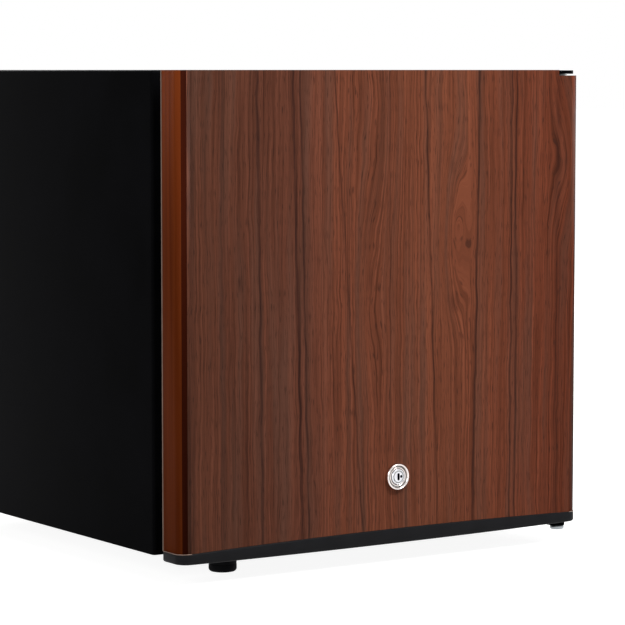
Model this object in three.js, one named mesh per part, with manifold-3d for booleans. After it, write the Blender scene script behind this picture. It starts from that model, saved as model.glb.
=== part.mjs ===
import * as THREE from 'three';
import { mergeVertices } from 'three/addons/utils/BufferGeometryUtils.js';
import Module from 'manifold-3d';

const wasm = await Module();
wasm.setup();

// A compact hotel minibar: a foam-filled steel cabinet with one lockable door and an absorption
// cooling unit in a bay behind it. Millimetres, +Z up, the door faces -Y and hinges at its +X edge.
// The origin is on the floor, below the middle of the cabinet.

// Cabinet
const cabinetWidth = 400;
const cabinetHeight = 405;
const cabinetDepth = 400; // lock face to the rear edges of the side walls
const footHeight = 21.5;
const sheet = 1.2; // steel sheet of wrapper, base and back
const frontFlange = 14;
const rearFlange = 12;
const sideFoam = 30;
const roofFoam = 30;
const floorFoam = 24;
const backFoam = 35;
const linerWall = 2.5;
const frameDepth = 10;
const unitBay = 78;

// Door
const doorThickness = 28;
const sealGap = 13.5; // door back to cabinet front
const doorDrop = 3; // door's lower edge below the underside of the cabinet
const doorCorner = 10;
const doorBackCorner = 1.5;
const skinWall = 1.5;
const skinReturn = 6;
const capProud = 0.5; // bottom cap stands out this far round the wood
const capEndHeight = 8.2;
const capRise = 2.7; // arch of the bottom cap's upper edge
const capCrown = 1.4; // sag of its lower edge
const topCapHeight = 12;
const sealMargin = 2;
const sealWidth = 15;

// Hinges
const hingeInset = 12;
const leafWidth = 22;
const lowerLeafWidth = 13;
const leafThickness = 3;
const leafGap = 1.3; // lower leaf to the door's lower edge
const lowerLeafReach = 62;
const upperLeafDrop = 60;
const pinRadius = 4;
const pinReach = 13;
const pinHeadRadius = 6;
const pinHeadHeight = 3;
const pinCollarRadius = 5.6;
const pinCollarHeight = 0.8;
const bushRadius = 7;
const bushHeight = 15;
const bossWall = 2.4;

// Lock
const lockOffset = 7.4; // right of the door's middle
const lockHeight = 51.2; // above the underside of the cabinet
const bezelRadius = 11;
const bezelProud = 3.2;
const barrelRadius = 8.2;
const plugRadius = 6.4;
const plugRecess = 0.5;
const keywayWidth = 1.7;
const keywayHeight = 6.4;
const keywayDepth = 12;
const nutAcross = 19;
const nutThickness = 3.5;
const camThickness = 2;
const camReach = 17;
const camWidth = 10;
const tailWidth = 6;
const keeperWidth = 22;
const keeperSheet = 1.8;
const keeperTail = 22;
const keeperCatch = 4.6; // how far the turned cam reaches behind the keeper's lip

// Screws
const screwRadius = 2;
const screwHeadRadius = 4.2;
const screwHeadHeight = 2.2;
const screwTail = 7;

// Feet
const footRadius = 11.5;
const footEdge = 2.5;
const footTaper = 0.6;
const footSeat = 8; // screw head seat above the floor
const footInset = 72.5;
const frontLeftSetback = 12.5;
const frontRightSetback = 64;
const rearSetback = 24; // in front of the back panel

// Inside
const shelfHeight = 146;
const shelfClear = 12;
const ledgeWidth = 10;
const ledgeThickness = 3;
const ledgePitch = 62;
const rodRadius = 2.5;
const wireRadius = 1.6;
const wirePitch = 22;
const evaporatorWidth = 190;
const evaporatorHeight = 96;
const evaporatorDrop = 42; // below the roof of the room
const evaporatorPlate = 3;
const finDepth = 18;
const finThickness = 1.6;
const finPitch = 12.5;
const neckWidth = 80;
const neckHeight = 56;
const controlWidth = 84;
const controlDepth = 76;
const controlHeight = 30;
const controlInset = 14; // from the right wall
const controlSetback = 82; // behind the cabinet front
const controlCorner = 5;
const knobRadius = 10.5;
const knobLength = 11;
const knobGrip = 4;
const knobShaft = 3;
const knobOffset = 22; // from the right end of the control box
const lensWidth = 26;
const lensHeight = 15;
const lensThickness = 2.5;

// Door racks
const dykeGap = 16.3; // from the room's side walls
const dykeWidth = 14;
const dykeDepth = 48;
const dykeOverhang = 10;
const rackDepth = 72;
const rackWall = 2.4;
const rackFrontHeight = 30;
const rackSideHeight = 54;
const lowerRackHeight = 60; // above the floor of the room
const upperRackHeight = 192;
const railRadius = 2.5;

// Cooling unit
const strapWidth = 18;
const strapDepth = 10;
const strapInset = 95; // strap middle from the cabinet side
const strapTopGap = 18;
const plugPlateWidth = 118;
const plugPlateHeight = 88;
const plugPlateThickness = 3;
const coilRadius = 8;
const coilRows = 4;
const coilPitch = 36;
const coilLeft = -98;
const coilRight = 142;
const coilBend = 17;
const coilDrop = 46; // last vertical run above the vessel
const coilDropOffset = 60;
const vesselRadius = 25;
const vesselLength = 196;
const vesselLift = 12;
const boilerWidth = 56;
const boilerDepth = 58;
const boilerHeight = 262;
const boilerInset = 9;
const boilerCorner = 8;
const condenserLength = 262;
const condenserDrop = 48; // below the top of the cabinet
const condenserOffset = 34;
const condenserRadius = 8;
const plateFinWidth = 46;
const plateFinHeight = 50;
const plateFinThickness = 1;
const plateFinPitch = 14;
const plateFinCount = 16;
const vapourRadius = 7;
const vapourBend = 16;
const solutionRadius = 6;
const terminalWidth = 64;
const terminalDepth = 46;
const terminalHeight = 84;
const terminalInset = 10;
const terminalCorner = 4;
const inletWidth = 27;
const inletHeight = 20;
const inletDepth = 16;
const inletRim = 4;
const inletRimThickness = 2;
const inletWall = 2.2;

const fit = 0.3; // clearance between fitted pieces
const past = 1; // how far a cutter runs past what it cuts
const roundSides = 20;
const screwSides = 8;
const pipeSides = 8;
const archSteps = 12;
const cornerSteps = 5;

// Planes worked out from the driving sizes
const left = -cabinetWidth / 2;
const right = cabinetWidth / 2;
const lockFace = -cabinetDepth / 2;
const doorFront = lockFace + bezelProud;
const skinFront = doorFront + capProud;
const doorBack = doorFront + doorThickness;
const bodyFront = doorBack + sealGap;
const bodyRear = cabinetDepth / 2;
const bodyBottom = footHeight;
const bodyTop = cabinetHeight;
const doorBottom = bodyBottom - doorDrop;
const doorTop = bodyTop;
const capTop = doorBottom + capEndHeight;
const plateTop = bodyBottom + sheet;
const backRear = bodyRear - unitBay;
const backFront = backRear - sheet;
const roomLeft = left + sheet + sideFoam + linerWall;
const roomRight = right - sheet - sideFoam - linerWall;
const dykeEdge = roomRight - dykeGap;
const roomFloor = plateTop + floorFoam + linerWall;
const roomTop = bodyTop - sheet - roofFoam - linerWall;
const roomBack = backFront - backFoam - linerWall;
const linerFront = bodyFront + frameDepth + fit;
const fillBottom = capTop + capRise + fit; // foam and inner panel of the door start above the arch
const fillTop = doorTop - topCapHeight - fit;
const hingeX = right - hingeInset;
const hingeY = (doorFront + doorBack) / 2;
const pinLeaf = [doorBottom - leafGap - leafThickness, doorBottom - leafGap];
const screwLeaf = [bodyBottom - fit - leafThickness, bodyBottom - fit];
const notchDepth = leafThickness + pinCollarHeight + 3 * fit; // room for the upper leaf over the door's end
const notchLeft = hingeX - leafWidth / 2 - past;
const lockX = lockOffset;
const lockZ = bodyBottom + lockHeight;
const barrelEnd = doorBack + fit + nutThickness + past / 2;
const camFront = barrelEnd + fit;
const camBack = camFront + camThickness;
const evaporatorTop = roomTop - evaporatorDrop;
const evaporatorMiddle = evaporatorTop - evaporatorHeight / 2;
const strapRear = backRear + fit + strapDepth;
const coilY = strapRear + fit + coilRadius;
const vesselY = strapRear + fit + vesselRadius;
const vesselZ = plateTop + vesselLift + vesselRadius;
const vesselLeft = -vesselLength / 2;
const condenserY = strapRear + fit + plateFinWidth / 2;
const condenserZ = bodyTop - condenserDrop;
const condenserLeft = condenserOffset - condenserLength / 2;
const boilerLeft = left + sheet + boilerInset;
const boilerRight = boilerLeft + boilerWidth;
const boilerTop = plateTop + fit + boilerHeight;
const terminalRight = right - sheet - terminalInset;
const terminalLeft = terminalRight - terminalWidth;
const terminalRear = backRear + fit + terminalDepth;
const terminalX = (terminalLeft + terminalRight) / 2;
const terminalZ = plateTop + fit + terminalHeight / 2;
const controlRight = roomRight - controlInset;
const controlFront = bodyFront + controlSetback;
const controlZ = roomTop - fit - controlHeight / 2;
const knobX = controlRight - knobOffset;
const lensX = controlRight - controlWidth + knobOffset;

const feet = [
  { name: 'foot_front_left', x: left + footInset, y: bodyFront + frontLeftSetback },
  { name: 'foot_front_right', x: right - footInset, y: bodyFront + frontRightSetback },
  { name: 'foot_rear_left', x: left + footInset, y: backFront - rearSetback },
  { name: 'foot_rear_right', x: right - footInset, y: backFront - rearSetback },
];
const lowerScrews = [1, 2].map((n) => ({
  name: `lower_hinge_screw_${n}`,
  x: hingeX,
  y: bodyFront + (n * lowerLeafReach) / 3,
}));
const upperScrews = [1, 2].map((n) => ({
  name: `upper_hinge_screw_${n}`,
  x: hingeX + leafWidth / 4,
  z: doorTop - (n * upperLeafDrop) / 2.5,
}));
const racks = [
  { name: 'lower', z: roomFloor + lowerRackHeight },
  { name: 'upper', z: roomFloor + upperRackHeight },
];

// Solids from three.js geometry

function solidOf(geometry) {
  geometry.deleteAttribute('normal');
  geometry.deleteAttribute('uv');
  const merged = mergeVertices(geometry, 1e-4);
  const corners = Array.from(merged.index.array);
  const kept = [];
  for (let i = 0; i < corners.length; i += 3) {
    const [a, b, c] = corners.slice(i, i + 3);
    if (a !== b && b !== c && c !== a) kept.push(a, b, c);
  }
  return new wasm.Manifold(new wasm.Mesh({
    numProp: 3,
    vertProperties: new Float32Array(merged.attributes.position.array),
    triVerts: new Uint32Array(kept),
  }));
}

function geometryOf(solid) {
  const mesh = solid.getMesh();
  const geometry = new THREE.BufferGeometry();
  geometry.setAttribute('position', new THREE.BufferAttribute(mesh.vertProperties, 3));
  geometry.setIndex(new THREE.BufferAttribute(mesh.triVerts, 1));
  geometry.computeVertexNormals();
  return geometry;
}

// Every corner takes its place from the span itself, so that two pieces meet on equal numbers
function placed(geometry, place) {
  const position = geometry.attributes.position;
  for (let i = 0; i < position.count; i += 1) {
    position.setXYZ(i, ...place(position.getX(i), position.getY(i), position.getZ(i)));
  }
  return solidOf(geometry);
}

function block(xs, ys, zs) {
  const end = (span, value) => span[value < 0 ? 0 : 1];
  return placed(new THREE.BoxGeometry(), (x, y, z) => [end(xs, x), end(ys, y), end(zs, z)]);
}

// A shape drawn in the plane across an axis (YZ, XZ or XY) and run along it
function prism(shape, axis, from, to, curveSegments = 8) {
  const geometry = new THREE.ExtrudeGeometry(shape, { depth: 1, bevelEnabled: false, curveSegments });
  const place = {
    x: (a, b, c) => [c < 0.5 ? from : to, a, b],
    y: (a, b, c) => [a, c < 0.5 ? to : from, b],
    z: (a, b, c) => [a, b, c < 0.5 ? from : to],
  };
  return placed(geometry, place[axis]);
}

function turned(profile, axis, [x, y, z], sides = roundSides) {
  const geometry = new THREE.LatheGeometry(profile.map(([r, h]) => new THREE.Vector2(r, h)), sides);
  if (axis === 'x') geometry.rotateZ(-Math.PI / 2);
  if (axis === 'z') geometry.rotateX(Math.PI / 2);
  geometry.translate(x, y, z);
  return solidOf(geometry);
}

function disc(x, y, radius) {
  const shape = new THREE.Shape();
  shape.absarc(x, y, radius, 0, 2 * Math.PI);
  return shape;
}

function roundedRect([x0, x1], [y0, y1], lowRadius, highRadius = lowRadius) {
  const shape = new THREE.Shape();
  shape.absarc(x1 - lowRadius, y0 + lowRadius, lowRadius, -Math.PI / 2, 0);
  shape.absarc(x1 - highRadius, y1 - highRadius, highRadius, 0, Math.PI / 2);
  shape.absarc(x0 + highRadius, y1 - highRadius, highRadius, Math.PI / 2, Math.PI);
  shape.absarc(x0 + lowRadius, y0 + lowRadius, lowRadius, Math.PI, 1.5 * Math.PI);
  return shape;
}

function polygon(points) {
  return new THREE.Shape(points.map(([x, y]) => new THREE.Vector2(x, y)));
}

// A round pipe through corner points, each corner eased by a bend
function pipe(corners, radius, bend, steps) {
  const points = corners.map((corner) => new THREE.Vector3(...corner));
  const path = new THREE.CurvePath();
  let start = points[0];
  for (let i = 1; i < points.length - 1; i += 1) {
    const before = points[i].clone().sub(points[i - 1]);
    const after = points[i + 1].clone().sub(points[i]);
    const ease = Math.min(bend, before.length() / 2.1, after.length() / 2.1);
    const enter = points[i].clone().sub(before.setLength(ease));
    const leave = points[i].clone().add(after.setLength(ease));
    path.add(new THREE.LineCurve3(start, enter));
    path.add(new THREE.QuadraticBezierCurve3(enter, points[i], leave));
    start = leave;
  }
  path.add(new THREE.LineCurve3(start, points.at(-1)));
  return solidOf(new THREE.ExtrudeGeometry(disc(0, 0, radius), {
    steps,
    extrudePath: path,
    curveSegments: pipeSides / 2,
  }));
}

function union(solids) {
  return solids.reduce((sum, solid) => sum.add(solid));
}

function cut(solid, cutters) {
  return cutters.reduce((rest, cutter) => rest.subtract(cutter), solid);
}

// Cabinet

function screwBore(spot, from, to) {
  return prism(disc(spot.x, spot.y, screwRadius + fit), 'z', from, to, screwSides / 2);
}

function upperScrewBore(spot, from, to) {
  return prism(disc(spot.x, spot.z, screwRadius + fit), 'y', from, to, screwSides / 2);
}

function cabinetShell() {
  const bend = 2 * sheet;
  const crease = 0.01; // the outline stays near sharp, so the bend alone rounds the top edges
  const shape = roundedRect([left + bend, right - bend], [bodyBottom, bodyTop - bend], crease, crease);
  const wrapper = solidOf(new THREE.ExtrudeGeometry(shape, {
    depth: bodyRear - bodyFront - 2 * bend,
    bevelSize: bend,
    bevelThickness: bend,
    bevelSegments: 4,
    curveSegments: 4,
  }).rotateX(Math.PI / 2).translate(0, bodyRear - bend, 0));
  const across = [left + sheet, right - sheet];
  const below = bodyBottom - 2 * bend;
  return cut(wrapper, [
    block([left - past, right + past], [bodyFront - past, bodyRear + past], [below, bodyBottom]),
    block(across, [bodyFront + sheet, bodyRear - sheet], [below, bodyTop - sheet]),
    block(
      [left + frontFlange, right - frontFlange],
      [bodyFront - past, bodyFront + 2 * sheet],
      [below, bodyTop - frontFlange],
    ),
    block(
      [left + rearFlange, right - rearFlange],
      [bodyRear - 2 * sheet, bodyRear + past],
      [below, bodyTop + past],
    ),
    block(across, [backRear, bodyRear - sheet], [bodyTop - 2 * sheet, bodyTop + past]),
    ...upperScrews.map((spot) => upperScrewBore(spot, bodyFront - past, bodyFront + 2 * sheet)),
  ]);
}

function basePlate() {
  const floor = block(
    [left + sheet + fit, right - sheet - fit],
    [bodyFront + sheet + fit, bodyRear - sheet - fit],
    [bodyBottom, plateTop],
  );
  const across = [left + frontFlange + fit, right - frontFlange - fit];
  const lip = block(across, [bodyFront, bodyFront + sheet], [bodyBottom, bodyBottom + frontFlange - fit]);
  const bend = block(across, [bodyFront, bodyFront + 3 * sheet], [bodyBottom, plateTop]);
  const bores = [...feet, ...lowerScrews].map((spot) => screwBore(spot, bodyBottom - past, plateTop + past));
  return cut(union([floor, lip, bend]), bores);
}

function neckBore(from, to, gap = fit) {
  return block(
    [-neckWidth / 2 - gap, neckWidth / 2 + gap],
    [from, to],
    [evaporatorMiddle - neckHeight / 2 - gap, evaporatorMiddle + neckHeight / 2 + gap],
  );
}

function backPanel() {
  const panel = block(
    [left + sheet + fit, right - sheet - fit],
    [backFront, backRear],
    [plateTop + fit, bodyTop - sheet - fit],
  );
  return panel.subtract(neckBore(backFront - past, backRear + past));
}

function roomBlock(from, to, grow = 0) {
  return block(
    [roomLeft - grow, roomRight + grow],
    [from, to],
    [roomFloor - grow, roomTop + grow],
  );
}

function frontFrame() {
  const ring = block(
    [left + frontFlange + fit, right - frontFlange - fit],
    [bodyFront, bodyFront + frameDepth],
    [bodyBottom + frontFlange, bodyTop - frontFlange - fit],
  );
  return ring.subtract(roomBlock(bodyFront - past, bodyFront + frameDepth + past));
}

function shelfSpan() {
  return {
    front: doorBack + rackDepth + shelfClear,
    back: roomBack - evaporatorPlate - finDepth - 2 * rodRadius,
    z: roomFloor + shelfHeight,
  };
}

function innerLiner() {
  const shelf = shelfSpan();
  const tub = roomBlock(linerFront, roomBack + linerWall, linerWall).subtract(
    roomBlock(linerFront - past, roomBack),
  );
  const ledges = [];
  for (const level of [-1, 0, 1]) {
    const top = shelf.z + level * ledgePitch;
    const depth = [shelf.front, roomBack + linerWall / 2];
    const height = [top - ledgeThickness, top];
    ledges.push(block([roomLeft - linerWall / 2, roomLeft + ledgeWidth], depth, height));
    ledges.push(block([roomRight - ledgeWidth, roomRight + linerWall / 2], depth, height));
  }
  return cut(union([tub, ...ledges]), [
    neckBore(roomBack - past, roomBack + linerWall + past),
    screwBore(keeperScrewSpot(), roomFloor - linerWall - past, roomFloor + past),
  ]);
}

function insulation() {
  const fill = block(
    [left + sheet + fit, right - sheet - fit],
    [bodyFront + sheet + fit, backFront - fit],
    [plateTop + fit, bodyTop - sheet - fit],
  );
  const frameSpace = block(
    [left + frontFlange, right - frontFlange],
    [bodyFront - past, linerFront],
    [bodyBottom, bodyTop - frontFlange],
  );
  const keeperSpot = keeperScrewSpot();
  return cut(fill, [
    frameSpace,
    roomBlock(bodyFront - past, roomBack + linerWall + fit, linerWall + fit),
    neckBore(roomBack, backFront + past),
    ...[...feet, ...lowerScrews].map((spot) => screwBore(spot, plateTop - past, plateTop + screwTail + past)),
    ...upperScrews.map((spot) => upperScrewBore(spot, bodyFront, bodyFront + sheet + screwTail + past)),
    screwBore(keeperSpot, roomFloor - linerWall - screwTail - past, roomFloor),
  ]);
}

function foot({ x, y }) {
  const top = footHeight - fit;
  const bore = screwRadius + fit;
  const recess = screwHeadRadius + fit;
  const profile = [[bore, footSeat], [recess, footSeat], [recess, 0]];
  for (const step of [0, 1, 2, 3]) {
    const angle = (step / 3) * (Math.PI / 2);
    profile.push([
      footRadius - footEdge + footEdge * Math.sin(angle),
      footEdge - footEdge * Math.cos(angle),
    ]);
  }
  profile.push([footRadius - footTaper, top], [bore, top], [bore, footSeat]);
  return turned(profile, 'z', [x, y, 0]);
}

function screwProfile(length) {
  return [
    [0, -screwHeadHeight],
    [screwHeadRadius * 0.6, -screwHeadHeight],
    [screwHeadRadius, -screwHeadHeight / 2],
    [screwHeadRadius, 0],
    [screwRadius, 0],
    [screwRadius, length],
    [0, length],
  ];
}

function footScrew({ x, y }) {
  const seat = footSeat - fit;
  return turned(screwProfile(plateTop + screwTail - seat), 'z', [x, y, seat], screwSides);
}

// Hinges

function leafShape(rear, width = leafWidth) {
  const half = width / 2;
  const shape = new THREE.Shape();
  shape.absarc(hingeX, hingeY, half, Math.PI, 2 * Math.PI);
  shape.lineTo(hingeX + half, rear);
  shape.lineTo(hingeX - half, rear);
  return shape;
}

function pinBore(from, to) {
  return prism(disc(hingeX, hingeY, pinRadius + fit), 'z', from, to);
}

// A leaf under the cabinet, stepped down in front of it to pass under the door
function lowerHingeBracket() {
  const width = [hingeX - lowerLeafWidth / 2, hingeX + lowerLeafWidth / 2];
  const step = bodyFront + leafThickness;
  const arm = prism(leafShape(step, lowerLeafWidth), 'z', ...pinLeaf);
  const riser = block(width, [bodyFront, step], [pinLeaf[0], screwLeaf[1]]);
  const leaf = block(width, [bodyFront, bodyFront + lowerLeafReach], screwLeaf);
  return cut(union([arm, riser, leaf]), [
    pinBore(pinLeaf[0] - past, pinLeaf[1] + past),
    ...lowerScrews.map((spot) => screwBore(spot, screwLeaf[0] - past, screwLeaf[1] + past)),
  ]);
}

function lowerHingePin() {
  const seat = pinLeaf[0] - fit;
  const profile = [
    [0, seat - pinHeadHeight],
    [pinHeadRadius - fit, seat - pinHeadHeight],
    [pinHeadRadius, seat - pinHeadHeight + fit],
    [pinHeadRadius, seat],
    [pinRadius, seat],
    [pinRadius, doorBottom + pinReach - past],
    [pinRadius - past, doorBottom + pinReach],
    [0, doorBottom + pinReach],
  ];
  return turned(profile, 'z', [hingeX, hingeY, 0]);
}

function lowerHingeScrew({ x, y }) {
  const seat = screwLeaf[0] - fit;
  return turned(screwProfile(plateTop + screwTail - seat), 'z', [x, y, seat], screwSides);
}

function upperLeafSpan() {
  return [doorTop - fit - leafThickness, doorTop - fit];
}

function upperHingeBracket() {
  const [low, high] = upperLeafSpan();
  const face = [bodyFront - fit - leafThickness, bodyFront - fit];
  const arm = prism(leafShape(face[1]), 'z', low, high);
  const leaf = block([hingeX - fit, hingeX + leafWidth / 2], face, [doorTop - upperLeafDrop, high]);
  return cut(arm.add(leaf), [
    pinBore(low - past, high + past),
    ...upperScrews.map((spot) => upperScrewBore(spot, face[0] - past, face[1] + past)),
  ]);
}

function upperHingePin() {
  const [low, high] = upperLeafSpan();
  const collar = low - fit;
  const end = doorTop - notchDepth - pinReach;
  const profile = [
    [0, end],
    [pinRadius - past, end],
    [pinRadius, end + past],
    [pinRadius, collar - pinCollarHeight],
    [pinCollarRadius, collar - pinCollarHeight],
    [pinCollarRadius, collar],
    [pinRadius, collar],
    [pinRadius, high],
    [0, high],
  ];
  return turned(profile, 'z', [hingeX, hingeY, 0]);
}

function upperHingeScrew({ x, z }) {
  const seat = bodyFront - fit - leafThickness - fit;
  return turned(screwProfile(bodyFront + sheet + screwTail - seat), 'y', [x, seat, z], screwSides);
}

function bushAt(from) {
  const bore = pinRadius + fit;
  const ring = [[bore, 0], [bushRadius, 0], [bushRadius, bushHeight], [bore, bushHeight], [bore, 0]];
  return turned(ring, 'z', [hingeX, hingeY, from]);
}

// Door

function doorOutline(inset, backInset) {
  return roundedRect(
    [left + inset, right - inset],
    [doorFront + inset, doorBack - backInset],
    doorCorner - inset,
    doorBackCorner,
  );
}

function bandShape(lowEnd, lowMiddle, highEnd, highMiddle) {
  const shape = new THREE.Shape();
  shape.moveTo(left - past, lowEnd);
  shape.lineTo(left, lowEnd);
  shape.quadraticCurveTo(0, 2 * lowMiddle - lowEnd, right, lowEnd);
  shape.lineTo(right + past, lowEnd);
  shape.lineTo(right + past, highEnd);
  shape.lineTo(right, highEnd);
  shape.quadraticCurveTo(0, 2 * highMiddle - highEnd, left, highEnd);
  shape.lineTo(left - past, highEnd);
  return shape;
}

function hingeBoss(from, to, grow = 0) {
  return prism(disc(hingeX, hingeY, bushRadius + fit + bossWall + grow), 'z', from, to);
}

function bushBore(from, to) {
  return prism(disc(hingeX, hingeY, bushRadius + fit), 'z', from, to);
}

function endNotch() {
  return block(
    [notchLeft, right + past],
    [doorFront - past, doorBack + past],
    [doorTop - notchDepth, doorTop + past],
  );
}

function lockBore(radius, from, to) {
  return prism(disc(lockX, lockZ, radius), 'y', from, to, roundSides / 2);
}

function doorSkin() {
  const wrap = prism(doorOutline(capProud, 0), 'z', doorBottom, doorTop, cornerSteps);
  const hollow = doorOutline(capProud + skinWall, skinWall);
  const inside = prism(hollow, 'z', doorBottom - past, doorTop + past, cornerSteps);
  const backOpening = block(
    [left + skinReturn, right - skinReturn],
    [doorBack - 2 * skinWall, doorBack + past],
    [doorBottom - past, doorTop + past],
  );
  const below = doorBottom - past;
  const capSpace = bandShape(below, below, capTop + fit, capTop + capRise + fit);
  return cut(wrap, [
    inside,
    backOpening,
    prism(capSpace, 'y', doorFront - past, doorBack + past, archSteps),
    endNotch(),
    lockBore(barrelRadius + fit, doorFront - past, doorBack),
  ]);
}

function doorBottomCap() {
  const heights = [doorBottom - capCrown - past, capTop + capRise + past];
  const outline = prism(doorOutline(0, 0), 'z', ...heights, cornerSteps);
  const band = bandShape(doorBottom, doorBottom - capCrown, capTop, capTop + capRise);
  const boss = hingeBoss(doorBottom, doorBottom + bushHeight + bossWall);
  const cap = outline.intersect(prism(band, 'y', doorFront - past, doorBack + past, archSteps));
  return cap.add(boss).subtract(bushBore(doorBottom - capCrown - past, doorBottom + bushHeight + fit));
}

function doorTopCap() {
  const inset = capProud + skinWall + fit;
  const cap = prism(doorOutline(inset, skinWall + fit), 'z', doorTop - topCapHeight, doorTop, cornerSteps);
  const bushTop = doorTop - notchDepth;
  const boss = hingeBoss(bushTop - bushHeight - bossWall, doorTop - topCapHeight / 2);
  return cut(cap.add(boss), [endNotch(), bushBore(bushTop - bushHeight - fit, doorTop + past)]);
}

function doorFoam() {
  const inset = capProud + skinWall + fit;
  const fill = prism(doorOutline(inset, linerWall + fit), 'z', fillBottom, fillTop, cornerSteps);
  return cut(fill, [
    hingeBoss(fillBottom - past, doorBottom + bushHeight + bossWall + fit, fit),
    hingeBoss(doorTop - notchDepth - bushHeight - bossWall - fit, fillTop + past, fit),
    lockBore(barrelRadius + fit, doorFront - past, doorBack),
  ]);
}

function doorLiner() {
  const panel = block(
    [left + skinReturn + fit, right - skinReturn - fit],
    [doorBack - linerWall, doorBack],
    [fillBottom, fillTop],
  );
  const height = [racks[0].z - dykeOverhang, racks[1].z + rackSideHeight + dykeOverhang];
  const depth = [doorBack - linerWall / 2, doorBack + dykeDepth];
  const dykes = [-1, 1].map((side) => {
    const edges = [side * dykeEdge, side * (dykeEdge - dykeWidth)];
    return block([Math.min(...edges), Math.max(...edges)], depth, height);
  });
  return union([panel, ...dykes]).subtract(
    lockBore(barrelRadius + fit, doorBack - 2 * linerWall, doorBack + past),
  );
}

function doorGasket() {
  const inner = sealMargin;
  const outer = sealMargin + sealWidth;
  const from = doorBack + fit;
  const to = bodyFront - fit;
  return roomBlock(from, to, outer).subtract(roomBlock(from - past, to + past, inner));
}

function rackEdge() {
  return dykeEdge - dykeWidth - fit;
}

function doorRack({ z }) {
  const edge = rackEdge();
  const near = doorBack + fit;
  const far = doorBack + rackDepth;
  const tray = block([-edge, edge], [near, far], [z, z + rackWall]);
  const front = block([-edge, edge], [far - rackWall, far], [z, z + rackFrontHeight]);
  const slope = (rackSideHeight - rackFrontHeight) / 2;
  const side = polygon([
    [near, z],
    [far, z],
    [far, z + rackFrontHeight],
    [far - slope, z + rackSideHeight],
    [near, z + rackSideHeight],
  ]);
  return union([
    tray,
    front,
    prism(side, 'x', -edge, rackWall - edge),
    prism(side, 'x', edge - rackWall, edge),
  ]);
}

function rackRail({ z }) {
  const end = rackEdge() - rackWall - fit;
  const y = doorBack + rackDepth - (rackSideHeight - rackFrontHeight) / 2;
  return prism(disc(y, z + (rackFrontHeight + rackSideHeight) / 2, railRadius), 'x', -end, end, 5);
}

// Lock

function lockHousing() {
  const seat = skinFront - fit;
  const bore = plugRadius + fit;
  const groove = lockFace + bezelProud / 2;
  const crest = (bezelRadius + barrelRadius) / 2;
  const profile = [
    [bore, barrelEnd],
    [bore, groove],
    [barrelRadius - fit, groove],
    [crest - 3 * fit, lockFace + fit],
    [crest, lockFace],
    [crest + 2 * fit, lockFace + fit],
    [bezelRadius, seat - bezelProud / 3],
    [bezelRadius, seat],
    [barrelRadius, seat],
    [barrelRadius, barrelEnd],
    [bore, barrelEnd],
  ];
  return turned(profile, 'y', [lockX, 0, lockZ]);
}

function lockPlug() {
  const face = lockFace + plugRecess;
  const tail = tailWidth / 2;
  const body = turned([
    [0, face],
    [plugRadius - 2 * fit, face],
    [plugRadius, face + 2 * fit],
    [plugRadius, barrelEnd],
    [0, barrelEnd],
  ], 'y', [lockX, 0, lockZ]);
  const square = block(
    [lockX - tail, lockX + tail],
    [barrelEnd - past, camBack],
    [lockZ - tail, lockZ + tail],
  );
  const keyway = block(
    [lockX - keywayWidth / 2, lockX + keywayWidth / 2],
    [lockFace - past, face + keywayDepth],
    [lockZ - keywayHeight / 2, lockZ + keywayHeight / 2],
  );
  return cut(body.add(square), [keyway, camScrewBore()]);
}

function lockNut() {
  const corners = [];
  for (let i = 0; i < 6; i += 1) {
    const angle = (i + 0.5) * (Math.PI / 3);
    const radius = nutAcross / 2 / Math.cos(Math.PI / 6);
    corners.push([lockX + radius * Math.cos(angle), lockZ + radius * Math.sin(angle)]);
  }
  const from = doorBack + fit;
  const nut = prism(polygon(corners), 'y', from, from + nutThickness);
  return nut.subtract(lockBore(barrelRadius + fit, from - past, from + nutThickness + past));
}

function lockCam() {
  const half = camWidth / 2;
  const tail = tailWidth / 2 + fit;
  const shape = new THREE.Shape();
  shape.moveTo(lockX + camReach, lockZ - half);
  shape.lineTo(lockX + camReach, lockZ + half);
  shape.absarc(lockX, lockZ, half, Math.PI / 2, 1.5 * Math.PI);
  const hole = block(
    [lockX - tail, lockX + tail],
    [camFront - past, camBack + past],
    [lockZ - tail, lockZ + tail],
  );
  return prism(shape, 'y', camFront, camBack).subtract(hole);
}

function camScrewShank() {
  return tailWidth / 4;
}

function camScrewBore() {
  return lockBore(camScrewShank() + fit / 2, camFront - past, camBack + past);
}

function camScrew() {
  const seat = camBack + fit;
  const shank = camScrewShank();
  const head = tailWidth / 2 + 2 * fit;
  const profile = [
    [0, camFront],
    [shank, camFront],
    [shank, seat],
    [head, seat],
    [head, seat + camThickness / 2],
    [head / 2, seat + camThickness],
    [0, seat + camThickness],
  ];
  return turned(profile, 'y', [lockX, 0, lockZ], screwSides);
}

function keeperScrewSpot() {
  return { x: lockX, y: linerFront + keeperTail / 3 };
}

function keeperTop() {
  return roomFloor + fit + keeperSheet;
}

function lockKeeper() {
  const lipBack = camFront - 2 * fit;
  const lipTop = lockZ - camReach + keeperCatch;
  const low = roomFloor + fit;
  const profile = polygon([
    [lipBack - keeperSheet, low],
    [bodyFront + keeperTail, low],
    [bodyFront + keeperTail, keeperTop()],
    [lipBack, keeperTop()],
    [lipBack, lipTop],
    [lipBack - keeperSheet, lipTop],
  ]);
  const strip = prism(profile, 'x', lockX - keeperWidth / 2, lockX + keeperWidth / 2);
  return strip.subtract(screwBore(keeperScrewSpot(), low - past, keeperTop() + past));
}

function keeperScrew() {
  const { x, y } = keeperScrewSpot();
  const seat = keeperTop() + fit;
  const end = roomFloor - linerWall - screwTail;
  const profile = screwProfile(seat - end).map(([r, h]) => [r, -h]).reverse();
  return turned(profile, 'z', [x, y, seat], screwSides);
}

// Inside

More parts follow.
